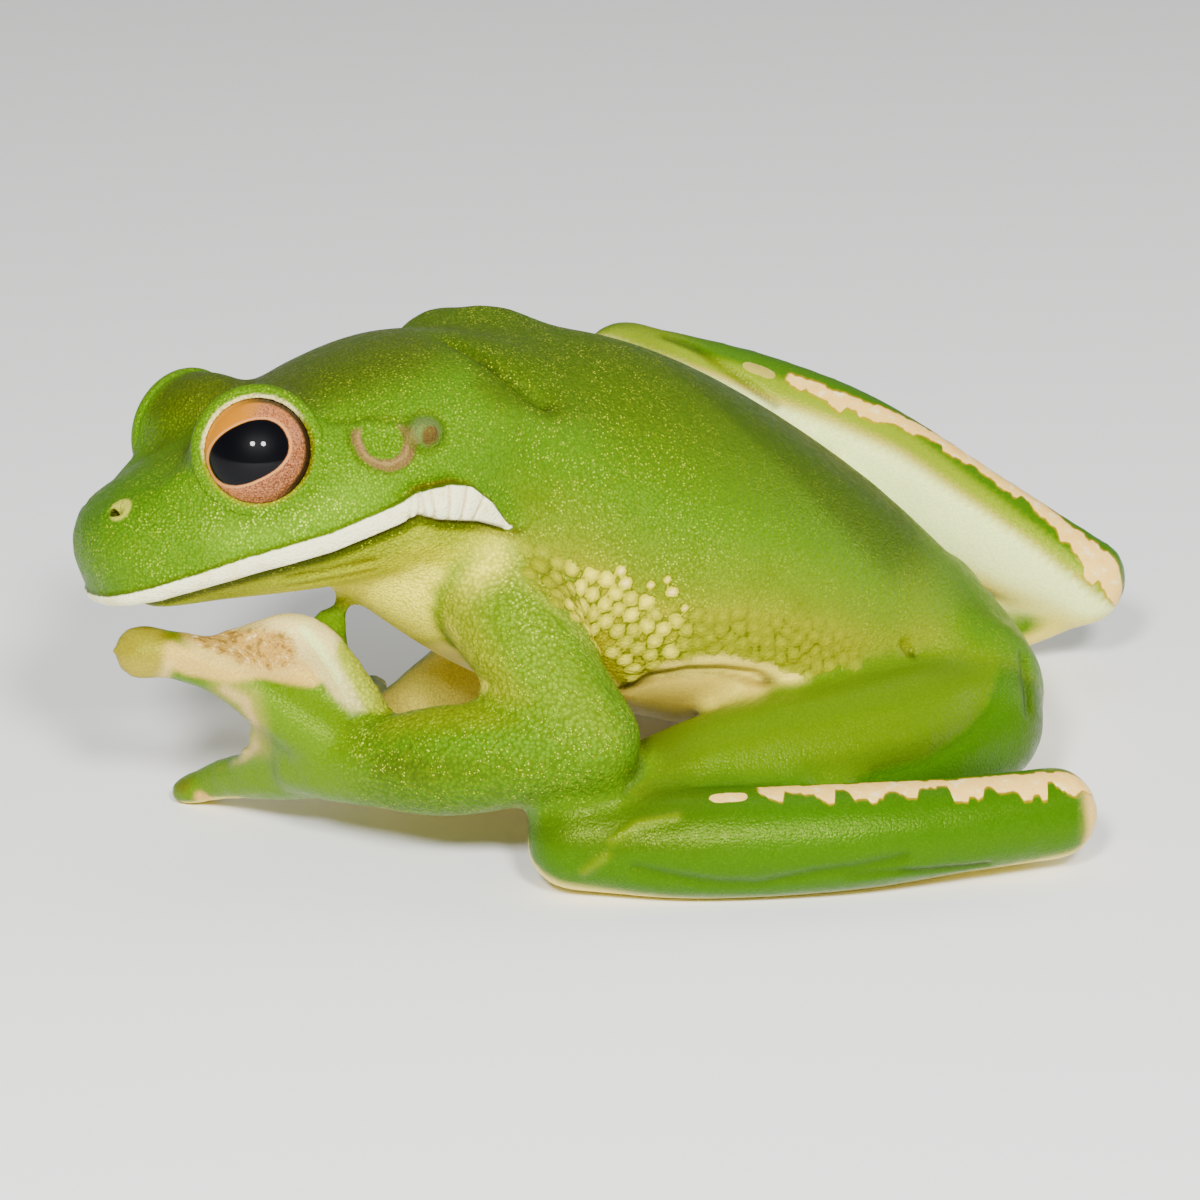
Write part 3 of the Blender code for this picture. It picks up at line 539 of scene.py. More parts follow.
def carve_mouth(points):
    """How far the lip, its pleats and the gape raise or lower each point."""
    back, out, up = head_parts(points)
    lip = at(back, LIP_WIDTH)
    reach = step(-back, -MOUTH_END, -MOUTH_END + 1.5) * step(np.abs(out) + 30 * (back < 5), 5, 8) * (up < 2)
    rise = up - at(back, MOUTH_LINE)
    band = step(rise, 0.0, 0.4) * step(-rise, -lip - 0.35, -lip + 0.05)
    fold = bump(rise - lip - 0.6, 0.5) * step(back, 26, 30) * step(-back, -36.5, -33)
    pleats = sum(bump(back - mark - rise * lean, 0.22) for mark, lean in LIP_PLEATS) * band
    gape = bump(rise + 0.12, 0.3)
    jaw = bump(rise + 1.5, 1.3) * (rise < 0)
    height = LIP_HEIGHT * band - GAPE_DEPTH * gape - JAW_DEPTH * jaw
    return reach * (height - LIP_FOLD_DEPTH * fold - PLEAT_DEPTH * pleats)


def carve_head(points):
    """Raises the mouth, ear drums and warts, and sinks the nostrils and the folds beside them."""
    heights = carve_mouth(points)
    for sign in (1, -1):
        for path, ring, height, width in HEAD_FORMS:
            away = path_distance(points, head_path(path, sign))
            heights += height * bump(away - ring, width)
    return heights


def carve_creases(points):
    """Sinks the creases of the body and legs, and raises the ridges by the knee."""
    heights = np.zeros(len(points))
    for path, width, depth in CREASES:
        heights -= depth * bump(path_distance(points, path), width)
    for path, width, height in RIDGES:
        heights += height * bump(path_distance(points, path), width)
    return heights


def seat_lids(points):
    """Rounds the rim of each eye's lids, and lays the skin round each eyeball on it."""
    for sign in (1, -1):
        centre, axis = (np.array(vector) for vector in eye_frame(sign))
        away = points - centre
        across = away - (away @ axis)[:, None] * axis
        across *= LID_RADIUS / np.linalg.norm(across, axis=1, keepdims=True)
        from_rim = away - across - LID_SEAT * axis
        gap = np.linalg.norm(from_rim, axis=1)
        rounded = (LID_RIM / gap - 1) * step(-gap, -1.4, -0.95)
        away = away + from_rim * rounded[:, None]
        distance = np.linalg.norm(away, axis=1)
        sunk = distance - LID_SINK * step(-distance, -6.4, -5.9)
        points = centre + away * (np.maximum(EYE_RADIUS + EYE_GAP, sunk) / distance)[:, None]
    return points


# Granules of the flanks.

FLANK_TOP = ((-11.6, 34.8), (-8.2, 33.5), (-4.8, 32.7), (-1.7, 31.1), (1.1, 28.8), (3.9, 27.6), (7.1, 26.7),
             (11.7, 26.3), (16.3, 24.9), (21.9, 22.8), (28, 19.5))
FLANK_LOW = ((-12, 14), (0.5, 15.4), (3.6, 19.2), (6.4, 19.8), (9.6, 20.0), (12.9, 19.2), (16.3, 17.6),
             (20.6, 15.8), (30, 14))
# The back edge of the near upper arm: height, against how far along the body.
ARM_EDGE = ((15.8, 0.4), (18, -0.9), (23, -3.4), (25.4, -4.7), (27.4, -6.2), (29.1, -8.5), (30.3, -10.3),
            (35, -11.8))
FLANK_END = 28.6
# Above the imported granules, how deep the band of loose ones is, and how high each granule stands.
LOOSE_ROWS = 1.9
GRANULE_HEIGHT, GRANULE_ROUND = 0.32, 0.8
# Along the body: the space between granules, and how pale they are.
GRANULE_SPACING = ((-6, 1.38), (5, 1.32), (12, 1.12), (27, 1.05))
GRANULE_PALENESS = ((-9, 0.2), (-5, 0.7), (3, 0.75), (8, 0.08))


def flank_depth(points):
    """How far each point lies inside the band of granules, seen from the side."""
    x, _, z = points.T
    inside = np.minimum(at(x, FLANK_TOP) + 1.0 - z, z - at(x, FLANK_LOW))
    return np.minimum(inside, np.minimum(x - at(z, ARM_EDGE), FLANK_END - x))


def granule_spacing(points):
    return at(points[:, 0], GRANULE_SPACING)


def scatter(points, chosen):
    """Picks points of the skin, none nearer to another than the granules' spacing."""
    draw = np.random.default_rng(7)
    spacing = granule_spacing(points)
    kept = []
    for i in draw.permutation(np.flatnonzero(chosen)):
        if kept and np.linalg.norm(points[kept] - points[i], axis=1).min() < spacing[i]:
            continue
        kept.append(i)
    return points[kept], draw


def granule_looks(centres, draw):
    """Each granule's reach, paleness, and how far it stands out. One that is left out has a reach below 0."""
    x, _, z = centres.T
    room = at(x, FLANK_TOP) - z
    loose = (room < LOOSE_ROWS) & (x > -6) & (x < 7)
    packed = np.where(x < 7.5, draw.uniform(0.66, 0.8, len(x)), 3.0)
    reach = np.where(loose, draw.uniform(0.4, 0.62, len(x)), packed) * granule_spacing(centres)
    reach[(loose & (draw.random(len(x)) < 0.4)) | (flank_depth(centres) < 0)] = -3.0
    pale = at(x, GRANULE_PALENESS) * draw.uniform(0.45, 1.2, len(x))
    pale[loose] = 1.0
    plain = np.where(loose, 1.0, step(room, 0.0, 2.6) * step(-x, -28, -20)) * np.where(room < -0.2, 0.0, 1.0)
    plain[(x > -6) & (x < 7)] = 1.0
    return reach, pale, plain


def granules(mesh, shares):
    """Each point's distance inside its granule's edge, and its granule's paleness, share and height."""
    points, normals = points_of(mesh), normals_of(mesh)
    depth = flank_depth(points)
    near_arm = (shares["upper_arm_left"] + shares["head"]) * (points[:, 2] > 22)
    own = shares["torso"] + near_arm
    centres, draw = scatter(points, (depth > -1.0) & (own > 0.5) & (np.abs(normals[:, 1]) > 0.1))
    reach, pale, plain = granule_looks(centres, draw)
    tree = tree_of(centres)
    inside, tint, share = np.full(len(points), -1.0), np.zeros(len(points)), np.zeros(len(points))
    for i in np.flatnonzero((depth > -1.5) & (own > 0.3)):
        (_, first, near), (_, _, next_near) = tree.find_n(points[i], 2)
        inside[i] = min((next_near - near) / 2, reach[first] - near)
        tint[i] = pale[first]
        share[i] = plain[first]
    share *= step(points[:, 2] - at(points[:, 0], FLANK_LOW), -0.6, 0.9)
    dome = np.sqrt(np.clip(inside, 0, GRANULE_ROUND) / GRANULE_ROUND)
    return inside, tint, share, GRANULE_HEIGHT * share * dome


# Where flesh blends from part to part: no seam stays there.
ROOTS = (
    ((-15, -8, 46), 15), ((-15, 10, 42), 16), ((-13, -19, 38), 9), ((-20, -2, 24), 13), ((-12, -19, 31), 8),
    ((-10, 17, 29), 9), ((-26, -18.5, 10), 6), ((-17, 15, 4), 5), ((-5, -28.5, 15), 7), ((0, 26, 10.5), 7),
    ((40, -13, 12), 9), ((33, 16, 15), 9), ((10, 39, 31), 8), ((-4, -28, 6.5), 6), ((39, -28, 5), 6),
    ((55, 23.5, 7), 6), ((-13, -4, 49), 12),
)


def make_skin():
    """The skin, from one even shell to fine forms, then painted."""
    mesh = fused_skin()
    keep_largest(mesh)
    even(mesh, 10)
    soften(mesh, 14, ROOTS)
    finer(mesh, fine_part(points_of(mesh)))
    even(mesh, 5)
    finer(mesh, finest_part(points_of(mesh)))
    even(mesh, 3)
    shares = node_shares(mesh, points_of(mesh))
    *flank, domes = granules(mesh, shares)
    points = points_of(mesh)
    heights = carve_head(points) + carve_creases(points) + domes
    set_points(mesh, points + normals_of(mesh) * heights[:, None])
    even(mesh, 1)
    points = seat_lids(points_of(mesh))
    points[:, 2] = np.maximum(points[:, 2], FLOOR_LEVEL)
    set_points(mesh, points)
    paint_skin(mesh, shares, flank)
    return mesh


# The skin's colours, painted by code.

# Below this the trunk is cream.
BELLY_TOP = ((-25, 28), (-8, 26), (0, 16), (3.6, 19.2), (6.4, 19.9), (9.6, 20.2), (13, 19.4), (17, 17.8),
             (21, 16), (36, 11))
BELLY_FOLD = ((0, 15.8), (3, 17.6), (6.5, 18.3), (10, 18.2), (13, 17.4), (16.5, 16), (22, 13))
# Along the body: the middle of the back, as how far right it lies, and the groove low on the near thigh.
SPINE = ((6, 1.5), (13.4, -6.3), (18.1, -9.2), (22, -11.5), (30, -13.5))
THIGH_GROOVE = ((20, 9.0), (24.5, 9.5), (30, 9.9), (34.6, 11.7), (37.1, 13.3), (39, 16), (41, 22))
ARM_SEAM = ((-13.2, -21.0, 33.2), (-14.8, -20.3, 30.0))
FAR_KNEE = (10.5, 40, 37.2)


def node_shares(mesh, points):
    """How much each point of the skin belongs to each flesh node, softened across the joints."""
    rows = []
    for i, name in enumerate(FLESH):
        own = points_of(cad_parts[name].data) * TO_MM - np.array(SHIFT)
        own = np.unique(own.round(3), axis=0)
        rows.append(np.hstack([own, np.full((len(own), 1), i)]))
    rows = np.vstack(rows)
    tree = tree_of(rows[:, :3])
    owner = np.array([rows[tree.find(point)[1], 3] for point in points], int)
    mean = averager(mesh)
    shares = {}
    for i, name in enumerate(FLESH):
        share = (owner == i).astype(float)
        for _ in range(6):
            share = mean(share)
        shares[name] = share
    return shares


def paint_torso(tone, points, normals, torso):
    """Olive along the back, partly painted shade, green sides, yellow low on the flank, cream beneath, and
    painted shade behind the spine.
    """
    x, y, z = points.T
    far_side_shade = step(y - at(x, SPINE), 0.0, 3.5) * step(x, 2, 12) * step(z, 21, 27)
    low = at(x, FLANK_TOP) - z
    patch = step(low, 0.5, 3.5) * step(-x, -9, -5) * step(-normals[:, 1], 0.1, 0.4)
    under = step(at(x, BELLY_TOP) - z, -0.8, 0.4)
    bulge = step(at(x, BELLY_FOLD) - z, -0.1, 0.5)
    return lay(
        tone, torso,
        # Olive on the back's upward faces, partly its own tone and partly painted shade.
        (OLIVE, 0.6 * step(normals[:, 2], 0.4, 0.95)),
        # Deep green past the spine: painted shade on the far side of the back.
        (DEEP, 0.72 * far_side_shade),
        (LIME, 0.85 * step(low, -8, 1)),
        (YELLOW, 0.85 * step(low, -2, 3)),
        (FLANK_GOLD, 0.85 * patch),
        (CREAM, under),
        (BELLY_SHADE, 0.8 * bulge * under),
        (GREEN, step(x, 31, 38) * step(z, 6.5, 14)),
    )


def paint_head(tone, points, normals, head):
    """Olive crown, green cheek with a painted sheen, a bright lower jaw and a yellow throat, with painted
    shade in the folds and at the lip's corner and a painted shadow just under the lip.
    """
    back, out, up = head_parts(points)
    rise = up - at(back, MOUTH_LINE)
    crown = step(up, 6.5, 10.5) * step(normals[:, 2], 0.2, 0.75)
    between = bump(np.abs(out) - 4.5, 3.5) * step(back, 8, 14) * step(-back, -30, -22) * step(up, 3, 6)
    cheek_sheen = bump(rise - 4.0, 2.2) * step(back, 8, 13) * step(-back, -31, -22) * (out > 0)
    corner_fold_shade = bump(rise - at(back, LIP_WIDTH) - 0.35, 0.3) * step(back, 28, 30.5) * step(-back, -37, -33)
    tone = lay(
        tone, head,
        (OLIVE, 0.8 * crown),
        (OLIVE, 0.6 * between),
        (LEAF, 0.4 * step(-back, -13, -5) * step(up, 0, 4)),
        # Brighter green below the eye: the cheek's own green and a painted sheen.
        (CHEEK_SHEEN_GREEN, 0.7 * cheek_sheen),
    )
    tone = lay(
        tone, head * step(-back, -43, -39),
        # Just under the lip: olive, a painted shadow of the overhanging lip.
        (OLIVE, step(-rise, 0.0, 0.25)),
        (JAW_LIME, step(-rise, 0.7, 1.5)),
        (JAW_YELLOW, 0.9 * step(-rise, 2.0, 4.2)),
        (BRIGHT, 0.9 * step(-rise, 4.6, 6.8) * step(back, 12, 20)),
    )
    for sign in (1, -1):
        # Painted shade in the folds: brown under the jaw, deep green over the ear drum.
        folds = [path_distance(points, head_path(fold, sign)) for fold in (*JAW_FOLDS, DRUM_FOLD)]
        tone = lay(tone, head, *[(BROWN, 0.7 * bump(away, 0.4)) for away in folds[:-1]])
        tone = lay(tone, head, (DEEP, 0.75 * bump(folds[-1], 0.5)))
    # Painted shade in the fold over the lip's corner.
    return lay(tone, head, (BROWN, 0.9 * corner_fold_shade))


def paint_lids(tone, points):
    """A pale rim on each eyelid's free edge, palest above, over a bright ring, with a painted shadow at its
    back.
    """
    for sign in (1, -1):
        distance, front, ahead, up = eye_parts(points, sign)
        tone = mix(tone, GREEN, 0.8 * step(front, 0.0, 1.0) * step(-distance, -8.6, -6.8))
        tone = lay(
            tone, step(front, 0.8, 1.6) * step(-distance, -6.15, -5.95),
            (YELLOW, 0.8),
            (LID_CREAM, 0.9 * step(up, 0.5, 3.0)),
            # A painted shadow at the back of the lid's rim.
            (BROWN, 0.8 * step(-ahead, 2.0, 4.0) * step(-up, -2.5, 0.5)),
        )
    return tone


def paint_near_leg(tone, points, normals, shares):
    """Olive knee, green thigh with a darker groove and a painted shadow by the knee, deep green shank with a
    cream underside.
    """
    x, _, z = points.T
    shank, thigh = shares["shank_left"], shares["thigh_left"]
    tone = mix(tone, LEAF, 0.85 * (shank + shares["foot_left"]))
    tone = mix(tone, OLIVE, 0.45 * shank * step(-x, -14, 2) * step(normals[:, 2], -0.1, 0.5))
    groove = at(x, THIGH_GROOVE)
    tone = lay(
        tone, thigh,
        (THIGH_GREEN, step(z - groove, -0.3, 0.6)),
        # Olive towards the knee: a painted shadow on the thigh.
        (OLIVE, 0.6 * step(-x, -9, -1)),
        (LEAF, 0.8 * step(groove - z, -0.2, 0.4)),
        (DEEP, 0.7 * step(x, 39, 44)),
    )
    for name in ("thigh_left", "thigh_right", "forearm_left"):
        tone = mix(tone, CREAM, 0.85 * step(-normals[:, 2], 0.6, 0.95) * shares[name])
    around = leg_parts(points, "shank_left")[1]
    return mix(tone, CREAM, step(np.abs(around), 122, 145) * shank)


def paint_far_leg(tone, points, shares):
    """Green outside, then lime, and a pale inner face below its edge."""
    _, y, z = points.T
    run, around = leg_parts(points, "shank_right")[:2]
    beyond = around - at(run, PALE_EDGE)
    tone = lay(
        tone, shares["shank_right"],
        (LEAF, 0.6),
        (FAR_LIME, 0.9 * step(beyond, -24, -14)),
        (PALE, step(beyond, -2, 10)),
        (PINK, 0.4 * bump(beyond - 1, 4.0)),
        (CREAM, 0.8 * step(around, 100, 140)),
    )
    tone = mix(tone, PALE, 0.95 * shares["foot_right"] * step(z, 7, 9.5) * step(-y, -27, -23))
    knee = bump(spot_distance(points, FAR_KNEE), 5.0)
    return mix(tone, LIME, 0.9 * knee * (shares["shank_right"] + shares["thigh_right"]))


def paint_undersides(tone, points, normals, shares):
    """Cream beneath the feet and the far hand and inside the far arm, and the near heel's pink end."""
    for name in ("foot_left", "foot_right", "hand_right"):
        tone = mix(tone, CREAM, step(-normals[:, 2], 0.1, 0.6) * shares[name])
    for name in ("hand_right", "forearm_right", "upper_arm_right"):
        tone = mix(tone, CREAM, 0.9 * step(-normals[:, 1], -0.3, 0.25) * shares[name])
    heel = (shares["shank_left"] + shares["foot_left"]) * step(points[:, 0], 42.5, 44.5)
    return mix(tone, STRIPE_PINK, 0.85 * heel * step(normals[:, 0], 0.35, 0.8))


def paint_arm(tone, points, normals, shares):
    """The near arm: lime above with a pale edge at the throat, a painted wet highlight along its back edge,
    green and olive along the forearm.
    """
    x, _, z = points.T
    upper, lower = shares["upper_arm_left"], shares["forearm_left"]
    behind = x - at(z, ARM_EDGE)
    tone = mix(tone, GREEN, 0.8 * (upper + lower))
    tone = mix(tone, OLIVE, 0.5 * lower * bump(normals[:, 2] - 0.25, 0.4) * step(-z, -17, -13))
    tone = lay(
        tone, upper,
        (ARM_GREEN, 0.95 * step(-normals[:, 0], -0.75, -0.2)),
        (ARM_LIME, 0.8 * step(-normals[:, 0], 0.45, 0.85)),
        (BRIGHT, 0.8 * step(-normals[:, 0], 0.86, 0.99)),
    )
    tone = mix(tone, BRIGHT, 0.7 * bump(path_distance(points, ARM_SEAM), 2.0))
    tone = lay(
        tone, upper,
        (YELLOW, 0.8 * step(behind, -0.3, 0.5) * step(z, 21, 25)),
        # A painted wet highlight along the arm's back edge.
        (ARM_EDGE_HIGHLIGHT, 0.4 * bump(behind + 0.5, 0.5) * step(z, 22, 27)),
    )
    return lay(
        tone, lower,
        (FOREARM_SHADE, 0.7 * step(-normals[:, 2], 0.0, 0.45)),
        (YELLOW, 0.5 * step(normals[:, 2], 0.6, 0.95)),
    )


# Places on the near hand, as paths along its skin.
INNER_FINGER = ((-25, -16.6, 13), (-26.2, -16, 16), (-28.2, -15, 19.4), (-30.4, -14, 22.2),
                (-33.5, -13, 23.4), (-37, -12.8, 23.4))
INNER_RIDGE = ((-27.6, -18.4, 16.0), (-29.0, -16.9, 19.6), (-30.5, -16, 22.2), (-32.0, -15.0, 24.0))
INNER_EDGE = ((-24.9, -17.4, 16.8), (-26.3, -16.6, 19.5), (-27.4, -15.6, 21.4))
PALM = ((-41.2, -13.9, 23.1), (-38, -14.5, 22.2), (-34.6, -14.6, 21.8))
PALM_FOOT = ((-45.4, -15.9, 22.4), (-43.4, -16.4, 21.4), (-40.0, -16.9, 20.8), (-36.0, -15.6, 20.2),
             (-31.4, -15.2, 19.2))
WEB = ((-40, -17, 18.6), (-38.1, -17.4, 17.4), (-37.4, -17.0, 15.2), (-37.2, -13.2, 10.6),
       (-38.6, -10.3, 8.4), (-41, -6.5, 6.4))
WRIST, ALONG_HAND = (-23.4, -20.6, 11.4), (-0.82, 0.57, -0.05)
DISC, DISC_STAIN = (-49.0, -13.9, 22.3), (-49.4, -15.8, 23.4)
DISC_STREAK = ((-45.6, -14.6, 24.0), (-42.6, -14.4, 24.0))
LOW_TIP, LOW_PAD = (-45.2, -3.5, 3.8), (-41.8, -4.2, 1.8)


def paint_hand(tone, points, normals, shares):
    """The near hand: pale inner finger with a painted highlight on its ridge, tan palm, pink web edges with
    painted shade in the web's fold, and a yellow disc.
    """
    z = points[:, 2]
    near = shares["hand_left"]
    along = (points - np.array(WRIST)) @ np.array(ALONG_HAND)
    tone = mix(tone, WRIST_GREEN, 0.6 * (near + shares["forearm_left"]) * step(along, -3, 5))
    paths = (WEB, PALM, PALM_FOOT, INNER_FINGER, INNER_RIDGE, INNER_EDGE, DISC_STREAK)
    web, palm, foot, inner, ridge, edge, streak = (path_distance(points, path) for path in paths)
    disc, stain, tip, pad = (spot_distance(points, spot) for spot in (DISC, DISC_STAIN, LOW_TIP, LOW_PAD))
    return lay(
        tone, near,
        # Brownish olive in the web's fold: its own tone and painted shade.
        (WEB_OLIVE, 0.6 * step(-web, -2.6, -0.8) * step(z, 8, 11)),
        (WEB_PINK, 0.75 * step(-web, -1.0, -0.2)),
        (PALM_ORANGE, 0.9 * step(-foot, -1.7, -0.9)),
        (PALM_EDGE, 0.9 * step(-palm, -3.6, -2.4) * step(z, 18, 19.5)),
        (TAN, step(-palm, -2.4, -1.5)),
        (INNER_CREAM, 0.9 * step(-inner, -2.7, -2.0) * step(palm, 1.4, 2.4) * step(z, 13.5, 17.5)),
        # A painted highlight along the inner finger's ridge.
        (RIDGE_HIGHLIGHT, 0.8 * step(-ridge, -0.8, -0.1) * step(z, 14.5, 18.5)),
        (INNER_GREEN, 0.9 * step(-edge, -2.0, -1.2)),
        (DISC_TAN, 0.9 * step(-disc, -5.2, -4.2) * step(-z, -22.5, -21.0)),
        (DISC_YELLOW, 0.9 * step(-disc, -4.4, -3.2)),
        (DISC_OLIVE, 0.5 * step(-stain, -1.9, -0.8)),
        (DISC_BROWN, 0.8 * bump(streak, 0.8)),
        (TIP_BROWN, 0.8 * step(-tip, -2.6, -1.0)),
        (PINK, 0.9 * step(-pad, -1.5, -0.8)),
        (CREAM, step(-normals[:, 2], 0.6, 0.9) * step(-z, -4, -2.5)),
    )


def paint_tone(points, normals, shares):
    tone = np.tile(np.array(GREEN), (len(points), 1))
    tone = paint_torso(tone, points, normals, shares["torso"])
    tone = paint_head(tone, points, normals, shares["head"])
    tone = paint_lids(tone, points)
    tone = paint_near_leg(tone, points, normals, shares)
    tone = paint_far_leg(tone, points, shares)
    tone = paint_undersides(tone, points, normals, shares)
    tone = paint_arm(tone, points, normals, shares)
    tone = paint_hand(tone, points, normals, shares)
    # Painted shade along the shoulder and belly creases.
    for path, shade, width in ((SHOULDER_CREASE, DEEP, 2.4), (BELLY_CREASE, BROWN, 1.1)):
        tone = mix(tone, shade, 0.6 * bump(path_distance(points, path), width))
    # Painted shade: every crease darkened to a quarter of its tone.
    for path, width, _ in CREASES:
        tone = mix(tone, tone * 0.25, 0.95 * bump(path_distance(points, path), width))
    # Lime along the knee's ridges: their paler tone and a painted highlight on their tops.
    for path, width, _ in RIDGES:
        tone = mix(tone, LIME, 0.6 * bump(path_distance(points, path), width))
    return tone


def mark(mesh, **layers):
    """Gives each point of the mesh its values, as an attribute for each layer."""
    for name, values in layers.items():
        if values.ndim == 1:
            made = mesh.attributes.new(name, "FLOAT", "POINT")
            made.data.foreach_set("value", values.astype(np.float32))
        else:
            made = mesh.attributes.new(name, "FLOAT_COLOR", "POINT")
            full = np.hstack([values, np.ones((len(values), 1))])
            made.data.foreach_set("color", full.astype(np.float32).ravel())


def flat_distance(points, normals, spot):
    """Distance from a spot along the skin round it."""
    away = points - np.array(spot)
    near = np.linalg.norm(away, axis=1) < 3
    facing = normals[near].mean(axis=0)
    facing /= np.linalg.norm(facing)
    flat = away - (away @ facing)[:, None] * facing
    return np.where(near, np.linalg.norm(flat, axis=1), 9.0)


def mark_head(mesh, points, normals):
    """Distances that the shader draws the lip, the gape, the nostrils, the wart and the ear drum from."""
    back, out, up = head_parts(points)
    rise = up - at(back, MOUTH_LINE)
    lip_reach = np.where((np.abs(out) > 7) | (back < 5), 9.0, (np.abs(out) - 7) * 0.5)
    inside = np.minimum(np.minimum(rise, at(back, LIP_WIDTH) - rise), (MOUTH_END - back) * 0.6)
    off_mouth = 20 * (back > MOUTH_END - 0.6) + 20 * ((np.abs(out) < 7) & (back > 6))
    mark(
        mesh,
        lip=np.where(up < 3, np.minimum(inside, lip_reach), -2.0),
        gape=np.where(np.abs(rise) < 4, rise, 4.0) + off_mouth,
        pleat=np.minimum.reduce([np.abs(back - place - rise * lean) for place, lean in LIP_PLEATS]),
        drum_across=np.where(np.abs(out) > 11, back - DRUM[0], 50.0),
        drum_up=up - DRUM_RING_UP,
    )
    for name, spot in HEAD_SPOTS.items():
        sides = [flat_distance(points, normals, head_path([spot], sign)[0]) for sign in (1, -1)]
        mark(mesh, **{name: np.minimum(*sides)})


def mark_legs(mesh, points, shares):
    """Along each shank, and how far below the upper edge of its stripe, with the stripe's width there."""
    run, down, width = np.full(len(points), -50.0), np.full(len(points), -50.0), np.ones(len(points))
    for name in SHANKS:
        own = shares[name] > 0.35
        s, around, radius = (values[own] for values in leg_parts(points, name))
        top, low = at(s, STRIPE_TOP[name]), at(s, STRIPE_LOW[name])
        run[own] = s
        down[own] = np.radians(around - top) * radius
        width[own] = np.radians(low - top) * radius
    mark(mesh, leg_run=run, leg_down=down, stripe_width=width, teeth=1.0 - 0.6 * shares["shank_right"])


def paint_skin(mesh, shares, flank):
    """The painted tones, and what the shader needs to know of each point."""
    points, normals = points_of(mesh), normals_of(mesh)
    mark(mesh, tone=paint_tone(points, normals, shares))
    mark_head(mesh, points, normals)
    mark_legs(mesh, points, shares)
    x, y, z = points.T
    torso, hand = shares["torso"], shares["hand_left"]
    under = step(at(x, BELLY_TOP) - z, -1, 1) * torso
    arm = shares["forearm_left"] + shares["upper_arm_left"] + hand * step(x, -31, -26)
    legs = sum(shares[name] for name in SMOOTH_LEGS)
    smooth = np.clip(under + 0.75 * hand * step(-x, 26, 31) + legs, 0, 1)
    # Where painted glints go, strongest on the arms, the near face and the front of the flank.
    glitter = 0.3 + 0.7 * arm + 0.35 * shares["head"] * step(-y, 8, 14) + 0.55 * torso * step(-x, -16, -2)
    # Where painted highlights of wet skin go.
    wet = [step(-path_distance(points, path), -width * 1.4, -width * 0.3) for path, width in WET_SHEEN_PATHS]
    inside, tint, share = flank
    mark(
        mesh, granule=inside, granule_tint=tint, granule_share=share,
        palm=hand * step(-path_distance(points, PALM), -2.8, -1.5),
        wet=np.maximum.reduce(wet),
        coarse=np.clip(arm + 0.35 * torso, 0, 1),
        glitter=np.clip(glitter, 0, 1) * (1 - 0.85 * smooth),
        pebbled=1 - 0.7 * smooth,
    )


# Shaders.


class Value:
    """A shader socket that takes part in Python sums."""

    tree = None

    def __init__(self, socket):
        self.socket = socket

    def math(self, operation, *others):
        return node("ShaderNodeMath", {"operation": operation}, dict(enumerate((self, *others))))

    def __add__(self, other):
        return self.math("ADD", other)

    def __sub__(self, other):
        return self.math("SUBTRACT", other)

    def __rsub__(self, other):
        return node("ShaderNodeMath", {"operation": "SUBTRACT"}, {0: other, 1: self})

    def __mul__(self, other):
        return self.math("MULTIPLY", other)

    def __truediv__(self, other):
        return self.math("DIVIDE", other)

    __radd__ = __add__
    __rmul__ = __mul__

    def power(self, exponent):
        return self.math("POWER", exponent)

    def most(self, other):
        return self.math("MAXIMUM", other)

    def size(self):
        return self.math("ABSOLUTE")

    def ramp(self, start, end, low=0.0, high=1.0):
        """Goes smoothly from low at start to high at end."""
        values = {0: self, 1: start, 2: end, 3: low, 4: high}
        return node("ShaderNodeMapRange", {"interpolation_type": "SMOOTHSTEP", "clamp": True}, values)


def node(kind, settings=None, inputs=None, output=0):
    """Adds a node to the tree being built and returns one of its outputs."""
    made = Value.tree.nodes.new(kind)
    for name, value in (settings or {}).items():
        setattr(made, name, value)
    for name, value in (inputs or {}).items():
        if isinstance(value, Value):
            Value.tree.links.new(value.socket, made.inputs[name])
        else:
            made.inputs[name].default_value = value
    return Value(made.outputs[output])


def read(name, output="Fac"):
    return node("ShaderNodeAttribute", {"attribute_name": name}, output=output)


def millimetres():
    """Object coordinates, in millimetres."""
    coordinates = node("ShaderNodeTexCoord", output="Object")
    return node("ShaderNodeVectorMath", {"operation": "SCALE"}, {0: coordinates, "Scale": TO_MM})


def blend(a, b, share):
    """Colour a turned to colour b by share."""
    a, b = (v if isinstance(v, Value) else (*v, 1.0) for v in (a, b))
    return node("ShaderNodeMix", {"data_type": "RGBA"}, {0: share, 6: a, 7: b}, 2)


def coated(colour, *coats):
    """Lays coats over a colour, each a colour and its share."""
    for coat, share in coats:
        colour = blend(colour, coat, share)
    return colour


def shaded(colour, share):
    """The colour times share, the same in red, green and blue."""
    return node("ShaderNodeVectorMath", {"operation": "SCALE"}, {0: colour, "Scale": share})


def noise(where, scale, detail=2.0, rough=0.5):
    values = {"Vector": where, "Scale": scale, "Detail": detail, "Roughness": rough}
    return node("ShaderNodeTexNoise", {}, values)


def cells(where, scale, output=0):
    values = {"Vector": where, "Scale": scale, "Randomness": PEBBLE_JITTER}
    return node("ShaderNodeTexVoronoi", {}, values, output)


def beside(values):
    """A value as a place on a line."""
    return node("ShaderNodeCombineXYZ", {}, {0: values})


def new_material(name, constants):
    material = bpy.data.materials.new(name)
    material.use_nodes = True
    Value.tree = material.node_tree
    shader = Value.tree.nodes["Principled BSDF"]
    for key, value in constants.items():
        shader.inputs[key].default_value = value
    return material, shader


def feed(shader, **values):
    for name, value in values.items():
        Value.tree.links.new(value.socket, shader.inputs[name.replace("_", " ")])


def height_bump(height, distance, strength=1.0, under=None):
    inputs = {"Height": height, "Distance": distance, "Strength": strength}
    if under:
        inputs["Normal"] = under
    return node("ShaderNodeBump", {}, inputs)


